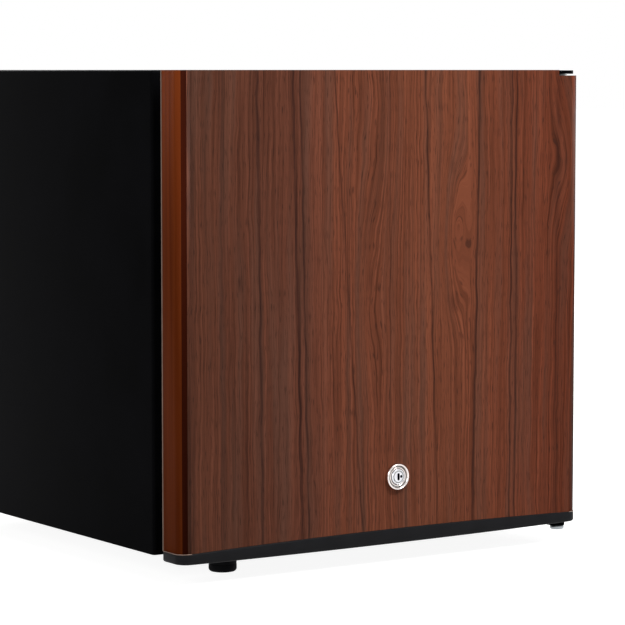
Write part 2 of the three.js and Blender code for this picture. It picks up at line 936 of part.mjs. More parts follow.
function evaporator() {
  const back = roomBack - fit;
  const plateFront = back - evaporatorPlate;
  const heights = [evaporatorTop - evaporatorHeight, evaporatorTop];
  const half = evaporatorWidth / 2;
  const pieces = [
    block([-half, half], [plateFront, back], heights),
    neckBore(plateFront, backRear, 0),
  ];
  const count = Math.floor((evaporatorWidth - finThickness) / finPitch) + 1;
  for (let i = 0; i < count; i += 1) {
    const x = (i - (count - 1) / 2) * finPitch;
    const span = [x - finThickness / 2, x + finThickness / 2];
    pieces.push(block(span, [plateFront - finDepth, plateFront + evaporatorPlate / 2], heights));
  }
  return union(pieces);
}

function wireShelf() {
  const { front, back, z } = shelfSpan();
  const height = z + fit + rodRadius;
  const reach = (roomRight - roomLeft) / 2 - fit - rodRadius;
  const ends = [-reach - rodRadius, reach + rodRadius];
  const rods = [front + rodRadius, back - rodRadius].map((y) => {
    return prism(disc(y, height, rodRadius), 'x', ends[0], ends[1], 4);
  });
  const count = Math.floor((2 * reach) / wirePitch);
  const pitch = (2 * reach) / count;
  for (let i = 0; i <= count; i += 1) {
    const radius = i === 0 || i === count ? rodRadius : wireRadius;
    const wire = disc(i * pitch - reach, height, radius);
    rods.push(prism(wire, 'y', front + rodRadius, back - rodRadius, 3));
  }
  return union(rods);
}

function controlBox() {
  const shape = roundedRect(
    [controlRight - controlWidth, controlRight],
    [controlZ - controlHeight / 2, controlZ + controlHeight / 2],
    controlCorner,
    controlCorner / 5,
  );
  const lens = block(
    [lensX - lensWidth / 2 - fit, lensX + lensWidth / 2 + fit],
    [controlFront - past, controlFront + lensThickness],
    [controlZ - lensHeight / 2 - fit, controlZ + lensHeight / 2 + fit],
  );
  const shaft = disc(knobX, controlZ, knobShaft + fit);
  return cut(prism(shape, 'y', controlFront, controlFront + controlDepth), [
    lens,
    prism(shaft, 'y', controlFront - past, controlFront + knobLength + fit),
  ]);
}

function lampLens() {
  const shape = roundedRect(
    [lensX - lensWidth / 2, lensX + lensWidth / 2],
    [controlZ - lensHeight / 2, controlZ + lensHeight / 2],
    past,
  );
  return prism(shape, 'y', controlFront - past / 2, controlFront + lensThickness - fit, 3);
}

function thermostatKnob() {
  const seat = controlFront - fit;
  const rim = knobLength / 3;
  const body = turned([
    [0, seat - rim - past],
    [knobRadius - past, seat - rim - past],
    [knobRadius, seat - rim],
    [knobRadius, seat],
    [knobShaft, seat],
    [knobShaft, seat + knobLength],
    [0, seat + knobLength],
  ], 'y', [knobX, 0, controlZ]);
  const reach = knobRadius - 2 * past;
  const grip = block(
    [knobX - knobGrip / 2, knobX + knobGrip / 2],
    [seat - knobLength, seat - rim],
    [controlZ - reach, controlZ + reach],
  );
  return body.add(grip);
}

// Cooling unit

function unitStrap(side) {
  const x = side * (right - strapInset);
  const heights = [plateTop + fit, bodyTop - strapTopGap];
  const span = [x - strapWidth / 2, x + strapWidth / 2];
  const channel = block(span, [backRear + fit, strapRear], heights);
  const hollow = block(
    [span[0] + 2 * sheet, span[1] - 2 * sheet],
    [backRear, strapRear - 2 * sheet],
    [heights[0] - past, heights[1] + past],
  );
  return channel.subtract(hollow);
}

function plugPlate() {
  const half = plugPlateHeight / 2;
  const shape = roundedRect(
    [-plugPlateWidth / 2, plugPlateWidth / 2],
    [evaporatorMiddle - half, evaporatorMiddle + half],
    controlCorner,
  );
  return prism(shape, 'y', backRear + fit, backRear + fit + plugPlateThickness, 4);
}

function absorberCoil() {
  const plate = backRear + 2 * fit + plugPlateThickness;
  const corners = [[0, plate, evaporatorMiddle], [0, coilY, evaporatorMiddle]];
  for (let row = 0; row < coilRows; row += 1) {
    const z = evaporatorMiddle - row * coilPitch;
    const ends = row % 2 === 0 ? [coilLeft, coilRight] : [coilRight, coilLeft];
    if (row > 0) corners.push([ends[0], coilY, z]);
    if (row < coilRows - 1) corners.push([ends[1], coilY, z]);
  }
  const last = evaporatorMiddle - (coilRows - 1) * coilPitch;
  const drop = vesselZ + vesselRadius + coilDrop;
  corners.push([coilDropOffset, coilY, last]);
  corners.push([coilDropOffset, coilY, drop]);
  corners.push([coilDropOffset, vesselY, drop]);
  corners.push([coilDropOffset, vesselY, vesselZ + vesselRadius + fit]);
  return pipe(corners, coilRadius, coilBend, 104);
}

function absorberVessel() {
  const dome = vesselRadius / 3;
  const half = vesselLength / 2;
  const profile = [
    [0, -half],
    [vesselRadius * 0.6, -half + dome * 0.2],
    [vesselRadius * 0.9, -half + dome * 0.56],
    [vesselRadius, -half + dome],
    [vesselRadius, half - dome],
    [vesselRadius * 0.9, half - dome * 0.56],
    [vesselRadius * 0.6, half - dome * 0.2],
    [0, half],
  ];
  return turned(profile, 'x', [0, vesselY, vesselZ]);
}

function boilerCase() {
  const half = boilerDepth / 2;
  const shape = roundedRect([boilerLeft, boilerRight], [condenserY - half, condenserY + half], boilerCorner);
  return prism(shape, 'z', plateTop + fit, boilerTop, 5);
}

function condenser() {
  const ends = [condenserLeft, condenserLeft + condenserLength];
  const pieces = [prism(disc(condenserY, condenserZ, condenserRadius), 'x', ends[0], ends[1], 4)];
  for (let i = 0; i < plateFinCount; i += 1) {
    const x = condenserOffset + (i - (plateFinCount - 1) / 2) * plateFinPitch;
    pieces.push(block(
      [x - plateFinThickness / 2, x + plateFinThickness / 2],
      [condenserY - plateFinWidth / 2, condenserY + plateFinWidth / 2],
      [condenserZ - plateFinHeight / 2, condenserZ + plateFinHeight / 2],
    ));
  }
  return union(pieces);
}

function vapourPipe() {
  const x = (boilerLeft + boilerRight) / 2;
  const corners = [
    [x, condenserY, boilerTop + fit],
    [x, condenserY, condenserZ],
    [condenserLeft - fit, condenserY, condenserZ],
  ];
  return pipe(corners, vapourRadius, vapourBend, 24);
}

function solutionPipe() {
  const shape = disc(vesselY, vesselZ, solutionRadius);
  return prism(shape, 'x', boilerRight + fit, vesselLeft - fit, 5);
}

function terminalBox() {
  const depth = [backRear + fit, terminalRear];
  const shape = roundedRect([terminalLeft, terminalRight], depth, past, terminalCorner);
  const socket = block(
    [terminalX - inletWidth / 2 - fit, terminalX + inletWidth / 2 + fit],
    [terminalRear - inletDepth - fit, terminalRear + past],
    [terminalZ - inletHeight / 2 - fit, terminalZ + inletHeight / 2 + fit],
  );
  return prism(shape, 'z', plateTop + fit, plateTop + fit + terminalHeight, 4).subtract(socket);
}

function powerInlet() {
  const around = (grow) => [
    [terminalX - inletWidth / 2 - grow, terminalX + inletWidth / 2 + grow],
    [terminalZ - inletHeight / 2 - grow, terminalZ + inletHeight / 2 + grow],
  ];
  const rimRear = terminalRear + fit + inletRimThickness;
  const [bodyX, bodyZ] = around(0);
  const [rimX, rimZ] = around(inletRim);
  const [holeX, holeZ] = around(-inletWall);
  const body = block(bodyX, [terminalRear - inletDepth, rimRear], bodyZ);
  const rim = prism(roundedRect(rimX, rimZ, inletRim / 2), 'y', terminalRear + fit, rimRear, 4);
  return body.add(rim).subtract(block(holeX, [terminalRear - inletDepth + inletWall, rimRear + past], holeZ));
}

// Finishes: colour, roughness, metalness

const finishes = {
  blackPaint: [0x121214, 0.45, 0.2],
  darkWood: [0x63321f, 0.42, 0],
  blackPlastic: [0x1d1d1f, 0.5, 0],
  whitePlastic: [0xe9e9e5, 0.4, 0],
  clearPlastic: [0xdfe8ea, 0.15, 0],
  blackRubber: [0x161616, 0.8, 0],
  foam: [0xe6dcae, 0.9, 0],
  chrome: [0xd8d8da, 0.12, 1],
  zincSteel: [0xb9bbbd, 0.3, 1],
  aluminium: [0xc4c7ca, 0.35, 1],
  whiteWire: [0xf0f0ee, 0.35, 0],
  unitPaint: [0x1a1a1b, 0.4, 0.3],
  bushPlastic: [0xd7d3c6, 0.5, 0],
};

const minibar = new THREE.Group();

function addPiece(name, solid, finish) {
  const [color, roughness, metalness] = finishes[finish];
  const material = new THREE.MeshStandardMaterial({ color, roughness, metalness });
  const mesh = new THREE.Mesh(geometryOf(solid), material);
  mesh.name = name;
  minibar.add(mesh);
}

addPiece('cabinet_shell', cabinetShell(), 'blackPaint');
addPiece('base_plate', basePlate(), 'blackPaint');
addPiece('back_panel', backPanel(), 'zincSteel');
addPiece('front_frame', frontFrame(), 'blackPlastic');
addPiece('inner_liner', innerLiner(), 'whitePlastic');
addPiece('insulation', insulation(), 'foam');
for (const spot of feet) {
  addPiece(spot.name, foot(spot), 'blackRubber');
  addPiece(`${spot.name}_screw`, footScrew(spot), 'zincSteel');
}

addPiece('lower_hinge_bracket', lowerHingeBracket(), 'blackPaint');
addPiece('lower_hinge_pin', lowerHingePin(), 'zincSteel');
for (const spot of lowerScrews) addPiece(spot.name, lowerHingeScrew(spot), 'zincSteel');
addPiece('upper_hinge_bracket', upperHingeBracket(), 'blackPaint');
addPiece('upper_hinge_pin', upperHingePin(), 'zincSteel');
for (const spot of upperScrews) addPiece(spot.name, upperHingeScrew(spot), 'zincSteel');

addPiece('door_skin', doorSkin(), 'darkWood');
addPiece('door_bottom_cap', doorBottomCap(), 'blackPlastic');
addPiece('door_top_cap', doorTopCap(), 'blackPlastic');
addPiece('lower_hinge_bush', bushAt(doorBottom), 'bushPlastic');
addPiece('upper_hinge_bush', bushAt(doorTop - notchDepth - bushHeight), 'bushPlastic');
addPiece('door_foam', doorFoam(), 'foam');
addPiece('door_liner', doorLiner(), 'whitePlastic');
addPiece('door_gasket', doorGasket(), 'blackRubber');
for (const rack of racks) {
  addPiece(`${rack.name}_rack`, doorRack(rack), 'clearPlastic');
  addPiece(`${rack.name}_rack_rail`, rackRail(rack), 'chrome');
}

addPiece('lock_housing', lockHousing(), 'chrome');
addPiece('lock_nut', lockNut(), 'zincSteel');
addPiece('lock_plug', lockPlug(), 'chrome');
addPiece('lock_cam', lockCam(), 'zincSteel');
addPiece('cam_screw', camScrew(), 'zincSteel');
addPiece('lock_keeper', lockKeeper(), 'zincSteel');
addPiece('keeper_screw', keeperScrew(), 'zincSteel');

addPiece('evaporator', evaporator(), 'aluminium');
addPiece('shelf', wireShelf(), 'whiteWire');
addPiece('control_box', controlBox(), 'whitePlastic');
addPiece('lamp_lens', lampLens(), 'clearPlastic');
addPiece('thermostat_knob', thermostatKnob(), 'whitePlastic');

addPiece('unit_strap_left', unitStrap(-1), 'zincSteel');
addPiece('unit_strap_right', unitStrap(1), 'zincSteel');
addPiece('plug_plate', plugPlate(), 'zincSteel');
addPiece('absorber_coil', absorberCoil(), 'unitPaint');
addPiece('absorber_vessel', absorberVessel(), 'unitPaint');
addPiece('boiler_case', boilerCase(), 'zincSteel');
addPiece('condenser', condenser(), 'unitPaint');
addPiece('vapour_pipe', vapourPipe(), 'unitPaint');
addPiece('solution_pipe', solutionPipe(), 'unitPaint');
addPiece('terminal_box', terminalBox(), 'blackPlastic');
addPiece('power_inlet', powerInlet(), 'blackPlastic');

export default minibar;
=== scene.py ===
import math

import bmesh
import bpy
from mathutils import Matrix, Vector


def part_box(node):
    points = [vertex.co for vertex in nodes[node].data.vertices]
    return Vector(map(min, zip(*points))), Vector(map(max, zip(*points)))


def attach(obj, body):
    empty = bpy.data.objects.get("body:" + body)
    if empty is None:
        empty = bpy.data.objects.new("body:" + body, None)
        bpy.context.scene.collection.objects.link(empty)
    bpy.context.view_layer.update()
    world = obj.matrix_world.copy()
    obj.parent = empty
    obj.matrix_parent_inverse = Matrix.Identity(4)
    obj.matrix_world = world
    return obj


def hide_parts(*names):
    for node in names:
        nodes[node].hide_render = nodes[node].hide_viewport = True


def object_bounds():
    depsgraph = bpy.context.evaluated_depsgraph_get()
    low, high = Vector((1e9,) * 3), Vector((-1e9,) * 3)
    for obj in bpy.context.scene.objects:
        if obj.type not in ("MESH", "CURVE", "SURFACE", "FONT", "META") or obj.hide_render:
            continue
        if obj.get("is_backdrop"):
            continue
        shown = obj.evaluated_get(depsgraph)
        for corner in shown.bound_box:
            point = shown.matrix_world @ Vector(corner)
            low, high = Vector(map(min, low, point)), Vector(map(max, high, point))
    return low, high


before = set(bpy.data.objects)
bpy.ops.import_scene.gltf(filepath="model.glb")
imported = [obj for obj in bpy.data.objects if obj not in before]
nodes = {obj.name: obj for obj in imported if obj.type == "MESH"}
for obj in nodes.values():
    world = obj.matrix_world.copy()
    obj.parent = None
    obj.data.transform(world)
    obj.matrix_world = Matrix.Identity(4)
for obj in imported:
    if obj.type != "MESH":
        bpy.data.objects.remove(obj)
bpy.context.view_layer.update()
scene = bpy.context.scene
scene.view_settings.view_transform = "Standard"
mm = 0.001
print("frame loaded:", len(nodes), "nodes")

# Camera and light

cameraSet = {
    "place": (-1.3290, -2.0463, 0.4055),  # metres, level with the cabinet top
    "turn": -34.117,  # degrees round Z, 0 looks along +Y
    "tilt": 4.956,  # degrees down
    "lens": 161.52,
}
camera = bpy.data.objects.new("camera", bpy.data.cameras.new("camera"))
scene.collection.objects.link(camera)
camera.location = cameraSet["place"]
camera.rotation_euler = (math.radians(90 - cameraSet["tilt"]), 0, math.radians(cameraSet["turn"]))
camera.data.lens = cameraSet["lens"]
camera.data.clip_end = 60
scene.camera = camera


def linear(code):
    parts = [int(code[i:i + 2], 16) / 255 for i in (1, 3, 5)]
    return tuple(p / 12.92 if p <= 0.04045 else ((p + 0.055) / 1.055) ** 2.4 for p in parts) + (1,)


def addNode(tree, kind, settings=None, links=None):
    node = tree.nodes.new("ShaderNode" + kind)
    for key, value in (settings or {}).items():
        if isinstance(key, str) and hasattr(node, key):
            setattr(node, key, value)
        else:
            node.inputs[key].default_value = value
    for key, socket in (links or {}).items():
        tree.links.new(socket, node.inputs[key])
    return node


def straightRays(tree):  # 1 where the camera sees a surface itself, in a mirror or through clear plastic
    path = addNode(tree, "LightPath")
    seen = path.outputs["Is Camera Ray"]
    for ray in ("Is Glossy Ray", "Is Transmission Ray"):
        seen = addNode(tree, "Math", {"operation": "MAXIMUM"}, {0: seen, 1: path.outputs[ray]}).outputs[0]
    return seen


lampSet = [  # name, place, aimed at, size in m, watts
    ("key", (0.4, -1.35, 1.75), (0.0, -0.2, 0.3), 1.0, 37),
    ("fill", (-3.2, -1.2, 1.6), (0.0, -0.1, 0.2), 1.8, 40),
    ("top", (0.2, 0.2, 2.6), (0, 0, 0.3), 1.8, 24),
    ("rear", (0.9, 3.0, 1.8), (0, 0.1, 0.2), 2.0, 60),
    ("right", (3.0, 0.6, 1.6), (0, 0.1, 0.2), 1.8, 30),
]
for name, place, target, size, watts in lampSet:
    lamp = bpy.data.objects.new(name, bpy.data.lights.new(name, "AREA"))
    scene.collection.objects.link(lamp)
    lamp.location = place
    lamp.rotation_euler = (Vector(target) - Vector(place)).to_track_quat("-Z", "Y").to_euler()
    lamp.data.shape = "DISK"
    lamp.data.size = size
    lamp.data.energy = watts

worldSet = {"light": "#c9cdd2", "strength": 0.22, "shown": "#ffffff"}
world = bpy.data.worlds.new("studio")
scene.world = world
world.use_nodes = True
tree = world.node_tree
tree.nodes.clear()
room = addNode(tree, "Background", {"Color": linear(worldSet["light"]), "Strength": worldSet["strength"]})
shown = addNode(tree, "Background", {"Color": linear(worldSet["shown"]), "Strength": 1.0})
mixed = addNode(tree, "MixShader", links={0: straightRays(tree), 1: room.outputs[0], 2: shown.outputs[0]})
addNode(tree, "OutputWorld", links={"Surface": mixed.outputs[0]})

floorSet = {
    "size": 40.0,
    "colour": "#a8a8a6",
    "shown": "#ffffff",
    "lift": (0.92, 1.0),  # keeps the floor white, least by the object where the shadow lies
    "reach": (0.7, 2.4),  # metres from the object between which the lift grows
}
floorMesh = bpy.data.meshes.new("floor")
half = floorSet["size"] / 2
floorCorners = [(-half, -half, 0), (half, -half, 0), (half, half, 0), (-half, half, 0)]
floorMesh.from_pydata(floorCorners, [], [(0, 1, 2, 3)])
floor = bpy.data.objects.new("floor", floorMesh)
scene.collection.objects.link(floor)
floorPaint = bpy.data.materials.new("matt_vinyl_floor")
floorPaint.use_nodes = True
tree = floorPaint.node_tree
tree.nodes.clear()
plain = addNode(tree, "BsdfDiffuse", {"Color": linear(floorSet["colour"])})
away = addNode(tree, "VectorMath", {"operation": "LENGTH"}, {0: addNode(tree, "TexCoord").outputs["Object"]})
nearBy, farOff = floorSet["reach"]
leastLift, fullLift = floorSet["lift"]
lift = addNode(tree, "MapRange", {1: nearBy, 2: farOff, 3: leastLift, 4: fullLift},
               {0: away.outputs["Value"]})
glow = addNode(tree, "Emission", {"Color": linear(floorSet["shown"])}, {"Strength": lift.outputs[0]})
pale = addNode(tree, "AddShader", links={0: plain.outputs[0], 1: glow.outputs[0]})
mixed = addNode(tree, "MixShader", links={0: straightRays(tree), 1: plain.outputs[0], 2: pale.outputs[0]})
addNode(tree, "OutputMaterial", links={"Surface": mixed.outputs[0]})
floorMesh.materials.append(floorPaint)
floor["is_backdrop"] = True
print("camera, light and floor set")

# Finishes


def newFinish(name):
    made = bpy.data.materials.new(name)
    made.use_nodes = True
    tree = made.node_tree
    shader = tree.nodes["Principled BSDF"]
    place = addNode(tree, "TexCoord").outputs["Object"]
    return made, tree, shader, place


def speckle(tree, place, size, detail=2.0, rough=0.5, stretch=(1, 1, 1)):
    scale = tuple(1 / (size * mm * s) for s in stretch)
    scaled = addNode(tree, "Mapping", {"Scale": scale}, {"Vector": place})
    settings = {"Scale": 1.0, "Detail": detail, "Roughness": rough}
    return addNode(tree, "TexNoise", settings, {"Vector": scaled.outputs[0]}).outputs[0]


patternSpan = (0.3, 0.7)  # part of a noise pattern's range that carries the tone


def toneAndGrain(tree, shader, pattern, colours, rough, bump):
    tone = addNode(tree, "ValToRGB", links={0: pattern})
    for stop, at, code in zip(tone.color_ramp.elements, patternSpan, colours):
        stop.position = at
        stop.color = linear(code)
    tree.links.new(tone.outputs[0], shader.inputs["Base Color"])
    low, high = patternSpan
    spread = addNode(tree, "MapRange", {1: low, 2: high, 3: rough[0], 4: rough[1]}, {0: pattern})
    tree.links.new(spread.outputs[0], shader.inputs["Roughness"])
    height, strength, depth = bump
    relief = addNode(tree, "Bump", {"Strength": strength, "Distance": depth * mm}, {"Height": height})
    tree.links.new(relief.outputs[0], shader.inputs["Normal"])


# Each plain finish: colours, roughness span, pattern size in mm, bump grain (mm, strength, depth in mm),
# shader values
plainFinishes = {
    # powder-coated sheet steel: near black, satin, a faint orange peel
    "powder_coated_steel": (("#060607", "#0c0c0e"), (0.42, 0.5), 60, (1.6, 0.12, 0.05),
                            {"Specular IOR Level": 0.006}),
    # injection-moulded ABS: charcoal, soft sheen from a fine spark-eroded grain
    "black_abs": (("#161618", "#1d1d1f"), (0.44, 0.56), 25, (0.9, 0.25, 0.05), {"Specular IOR Level": 0.06}),
    # moulded rubber: dull, faintly grey where it has been handled
    "black_rubber": (("#0e0e10", "#19191c"), (0.6, 0.78), 9, (1.1, 0.3, 0.08), {"Specular IOR Level": 0.06}),
    # thermoformed polystyrene: milky white, gloss softened by slow ripples from the mould
    "white_polystyrene": (("#e9e9e6", "#eeeeeb"), (0.34, 0.38), 90, (9.0, 0.05, 0.1),
                          {"Specular IOR Level": 0.3}),
    # plastic-coated wire: white with soft high lights
    "white_coated_wire": (("#e2e2df", "#f1f1ee"), (0.26, 0.4), 14, (2.5, 0.15, 0.08), {"Coat Weight": 0.2}),
    # bright chrome plate over brass
    "chrome_plate": (("#dad0cc", "#e6dedb"), (0.1, 0.2), 6, (0.8, 0.04, 0.01), {"Metallic": 1.0}),
    # satin nickel on the turning barrel: greyer and softer than the chrome round it
    "satin_nickel": (("#c8c8ce", "#d8d8dc"), (0.24, 0.36), 5, (0.6, 0.1, 0.02), {"Metallic": 1.0}),
    # painted shade: a darker grey metal laid on the lock's turned grooves, standing in for the shade inside
    # them
    "groove_painted_shade": (("#9fa19f", "#b4b5b3"), (0.45, 0.6), 3, (0.7, 0.3, 0.05), {"Metallic": 0.6}),
    # die-cast aluminium: pale grey, skin mottled by the die
    "cast_aluminium": (("#a9acae", "#c3c5c6"), (0.36, 0.52), 8, (1.3, 0.35, 0.08), {"Metallic": 1.0}),
    # cooling unit: dull black paint over welded steel tube
    "unit_black_paint": (("#101011", "#1b1b1c"), (0.4, 0.58), 22, (1.4, 0.3, 0.1),
                         {"Specular IOR Level": 0.4}),
    # acetal bearing: waxy ivory
    "natural_acetal": (("#d3cfc0", "#e0dccf"), (0.36, 0.46), 10, (1.2, 0.1, 0.05),
                       {"Subsurface Weight": 0.1, "Subsurface Scale": 0.002}),
    # rigid foam: pale yellow, open cut cells
    "polyurethane_foam": (("#cdbb84", "#e2d5a2"), (0.85, 0.95), 5, (1.5, 0.6, 0.4),
                          {"Specular IOR Level": 0.2}),
    # painted highlight: a brown paler than the film's face, standing in for light caught on the door film's
    # edges
    "film_edge_painted_highlight": (("#7a6356", "#8b7264"), (0.4, 0.5), 12, (0.8, 0.1, 0.03), {"Specular IOR Level": 0.4}),
}
finishes = {}
for name, (colours, rough, size, (grain, strength, depth), values) in plainFinishes.items():
    made, tree, shader, place = newFinish(name)
    cloud = speckle(tree, place, size, 4)
    toneAndGrain(tree, shader, cloud, colours, rough, (speckle(tree, place, grain), strength, depth))
    for key, value in values.items():
        shader.inputs[key].default_value = value
    finishes[name] = made

# door edging film: plain red-brown, no figure, faint upright streaks; a darker copy of it on the
# rounded corner is painted shade, standing in for the shade on the bend
filmSet = {"edging_film": ("#5a240c", "#713315"), "bend_painted_shade_film": ("#2c0d05", "#3e160a")}
for name, colours in filmSet.items():
    made, tree, shader, place = newFinish(name)
    streaks = speckle(tree, place, 5, 4, 0.6, (1, 1, 70))
    toneAndGrain(tree, shader, streaks, colours, (0.34, 0.44), (speckle(tree, place, 0.9), 0.08, 0.03))
    shader.inputs["Specular IOR Level"].default_value = 0.005
    finishes[name] = made

# zinc-plated steel: grey with a bluish bloom, drawn lines along the rolling direction
made, tree, shader, place = newFinish("zinc_plated_steel")
drawn = speckle(tree, place, 0.7, 3, stretch=(1, 1, 40))
toneAndGrain(tree, shader, speckle(tree, place, 18, 5), ("#8d9296", "#b4b7b9"), (0.26, 0.42),
             (drawn, 0.12, 0.03))
shader.inputs["Metallic"].default_value = 1.0
finishes[made.name] = made

# hot-dip galvanised sheet: crystal spangle about 12 mm across
made, tree, shader, place = newFinish("galvanised_sheet")
scaled = addNode(tree, "Mapping", {"Scale": (1 / (12 * mm),) * 3}, {"Vector": place})
spangle = addNode(tree, "TexVoronoi", {"Scale": 1.0, "Randomness": 1.0}, {"Vector": scaled.outputs[0]})
shade = addNode(tree, "SeparateColor", links={0: spangle.outputs["Color"]})
toneAndGrain(tree, shader, shade.outputs[0], ("#979b9f", "#a3a7aa"), (0.44, 0.48),
             (speckle(tree, place, 1.5), 0.08, 0.04))
shader.inputs["Metallic"].default_value = 1.0
finishes[made.name] = made

# crystal polystyrene: clear with a faint blue body, flow lines from moulding
made, tree, shader, place = newFinish("clear_polystyrene")
toneAndGrain(tree, shader, speckle(tree, place, 30, 2), ("#e6eff0", "#f3f8f8"), (0.05, 0.1),
             (speckle(tree, place, 9), 0.06, 0.1))
shader.inputs["Transmission Weight"].default_value = 0.92
shader.inputs["IOR"].default_value = 1.59
finishes[made.name] = made

# Wood-grain film on the door: printed rosewood figure under a satin coat, so its gloss is low and even
woodSet = {
    # ground colour from the left edge of the door to the right
    "ground": [(0.0, "#593426"), (0.3, "#61382a"), (0.38, "#6f3e2c"), (0.66, "#703f2c"), (0.86, "#6e3a28"),
               (1.0, "#643120")],
    "halfSpan": 200,  # mm, from the door's middle to the ends of that ramp
    "filmFoot": 30,  # mm up to the film's lower edge, and the film's height
    "filmHeight": 370,
    "bandWidth": 26,  # mm, broad bands of tone along the grain
    "fibreWidth": 1.7,  # mm, drawn a little coarser than the print so that it shows
    "lineWidth": 8,
    "poreWidth": 1.0,
    "streak": "#2c1a16",
    "pore": "#2c1610",
    "dashWidth": 0.8,  # mm, short dark vessels between the fibres
    "dash": "#34201a",
    "cool": "#574036",  # grey-brown bands between the red ones
    "coolWidth": 11,
    # dark streaks: mm across the door at its top and its foot, half width in mm, depth of colour
    "streaks": [(-190, -188, 4.0, 0.5), (-161, -160, 4.0, 0.35), (-128, -123, 2.6, 0.75),
                (-94, -85, 2.8, 0.9), (-87, -79, 2.0, 0.8), (-54, -26, 1.6, 0.65), (0, 2, 1.3, 0.5),
                (36, 50, 1.6, 0.75), (92, 86, 2.6, 0.85), (126, 125, 1.6, 0.75), (131, 130, 1.8, 0.8),
                (176, 174, 5.0, 0.45)],
    # knots that the grain runs round: mm across, mm up, half width, half height, how far they push the grain
    "knots": [(66, 272, 21, 110, 17), (-20, 215, 18, 100, 8), (-8, 372, 34, 130, -11),
              (186, 330, 30, 95, -15)],
    # dark flecks: mm across, mm up, half width, half height, depth of colour
    "flecks": [(66, 214, 7, 13, 0.4), (64, 326, 5, 11, 0.3), (-144, 237, 5, 10, 0.35),
               (-19, 236, 3.5, 16, 0.4), (184, 328, 4, 9, 0.45)],
}


def spot(tree, place, x, z, halfWide, halfTall, most):  # smooth hump, most at its middle and 0 past its rim
    spread = (1 / (halfWide * mm), 0, 1 / (halfTall * mm))
    settings = {"Scale": spread, "Location": (-x / halfWide, 0, -z / halfTall)}
    centred = addNode(tree, "Mapping", settings, {0: place})
    away = addNode(tree, "VectorMath", {"operation": "LENGTH"}, {0: centred.outputs[0]}).outputs["Value"]
    fall = {"interpolation_type": "SMOOTHSTEP", 3: most, 4: 0}
    return addNode(tree, "MapRange", fall, {0: away}).outputs[0]


def darkest(tree, masks):
    most = masks[0]
    for mask in masks[1:]:
        most = addNode(tree, "Math", {"operation": "MAXIMUM"}, {0: most, 1: mask}).outputs[0]
    return most


made, tree, shader, place = newFinish("rosewood_film")
axes = addNode(tree, "SeparateXYZ", links={0: place})
sway = addNode(tree, "MapRange", {3: -6 * mm, 4: 6 * mm}, {0: speckle(tree, place, 80, 2, stretch=(1, 1, 3))})
curl = addNode(tree, "MapRange", {3: -2 * mm, 4: 2 * mm},
               {0: speckle(tree, place, 14, 1, stretch=(1, 1, 2.4))})
drift = addNode(tree, "Math", {"operation": "ADD"}, {0: axes.outputs["X"], 1: curl.outputs[0]}).outputs[0]
across = addNode(tree, "Math", {"operation": "ADD"}, {0: drift, 1: sway.outputs[0]}).outputs[0]
for x, z, halfWide, halfTall, push in woodSet["knots"]:
    swell = spot(tree, place, x, z, halfWide, halfTall, push * mm)
    across = addNode(tree, "Math", {"operation": "ADD"}, {0: across, 1: swell}).outputs[0]
grain = addNode(tree, "CombineXYZ", links={"X": across, "Z": axes.outputs["Z"]}).outputs[0]
band = speckle(tree, grain, woodSet["bandWidth"], 2, 0.5, (1, 1, 30))
fibre = speckle(tree, grain, woodSet["fibreWidth"], 4, 0.65, (1, 1, 150))
pores = speckle(tree, grain, woodSet["poreWidth"], 1, 0.5, (1, 1, 40))
lines = speckle(tree, grain, woodSet["lineWidth"], 2, 0.5, (1, 1, 56))
vein = addNode(tree, "Math", {"operation": "SUBTRACT", 1: 0.5}, {0: lines})
vein = addNode(tree, "Math", {"operation": "ABSOLUTE"}, {0: vein.outputs[0]})
vein = addNode(tree, "MapRange", {2: 0.03, 3: 1, 4: 0}, {0: vein.outputs[0]})
faint = addNode(tree, "MapRange", {1: 0.42, 2: 0.62}, {0: speckle(tree, grain, 10, 2, 0.5, (1, 1, 12))})
vein = addNode(tree, "Math", {"operation": "MULTIPLY"}, {0: vein.outputs[0], 1: faint.outputs[0]})
shade = addNode(tree, "MapRange", {1: 0.25, 2: 0.75, 3: 0.8, 4: 1.2}, {0: band})
shade = addNode(tree, "Math", {"operation": "MULTIPLY_ADD", 1: 2.4}, {0: fibre, 2: shade.outputs[0]})
shade = addNode(tree, "Math", {"operation": "MULTIPLY_ADD", 1: -0.2},
                {0: vein.outputs[0], 2: shade.outputs[0]})
shade = addNode(tree, "Math", {"operation": "SUBTRACT", 1: 1.15}, {0: shade.outputs[0]})
halfSpan = woodSet["halfSpan"] * mm
reach = addNode(tree, "MapRange", {1: -halfSpan, 2: halfSpan}, {0: across})
ground = addNode(tree, "ValToRGB", links={0: reach.outputs[0]})
ramp = ground.color_ramp
while len(ramp.elements) < len(woodSet["ground"]):
    ramp.elements.new(0.5)
for stop, (at, code) in zip(ramp.elements, woodSet["ground"]):
    stop.position = at
    stop.color = linear(code)
shaded = addNode(tree, "Mix", {"data_type": "RGBA", "blend_type": "MULTIPLY", 0: 1.0},
                 {6: ground.outputs[0], 7: shade.outputs[0]})
coolBand = addNode(tree, "MapRange", {1: 0.46, 2: 0.68, 3: 0.0, 4: 0.4},
                   {0: speckle(tree, grain, woodSet["coolWidth"], 2, 0.5, (1, 1, 26))})
shaded = addNode(tree, "Mix", {"data_type": "RGBA", 7: linear(woodSet["cool"])},
                 {0: coolBand.outputs[0], 6: shaded.outputs[2]})
dashes = addNode(tree, "MapRange", {1: 0.58, 2: 0.7, 3: 0.0, 4: 0.62},
                 {0: speckle(tree, grain, woodSet["dashWidth"], 1, 0.5, (1, 1, 14))})
shaded = addNode(tree, "Mix", {"data_type": "RGBA", 7: linear(woodSet["dash"])},
                 {0: dashes.outputs[0], 6: shaded.outputs[2]})
darkMasks = []
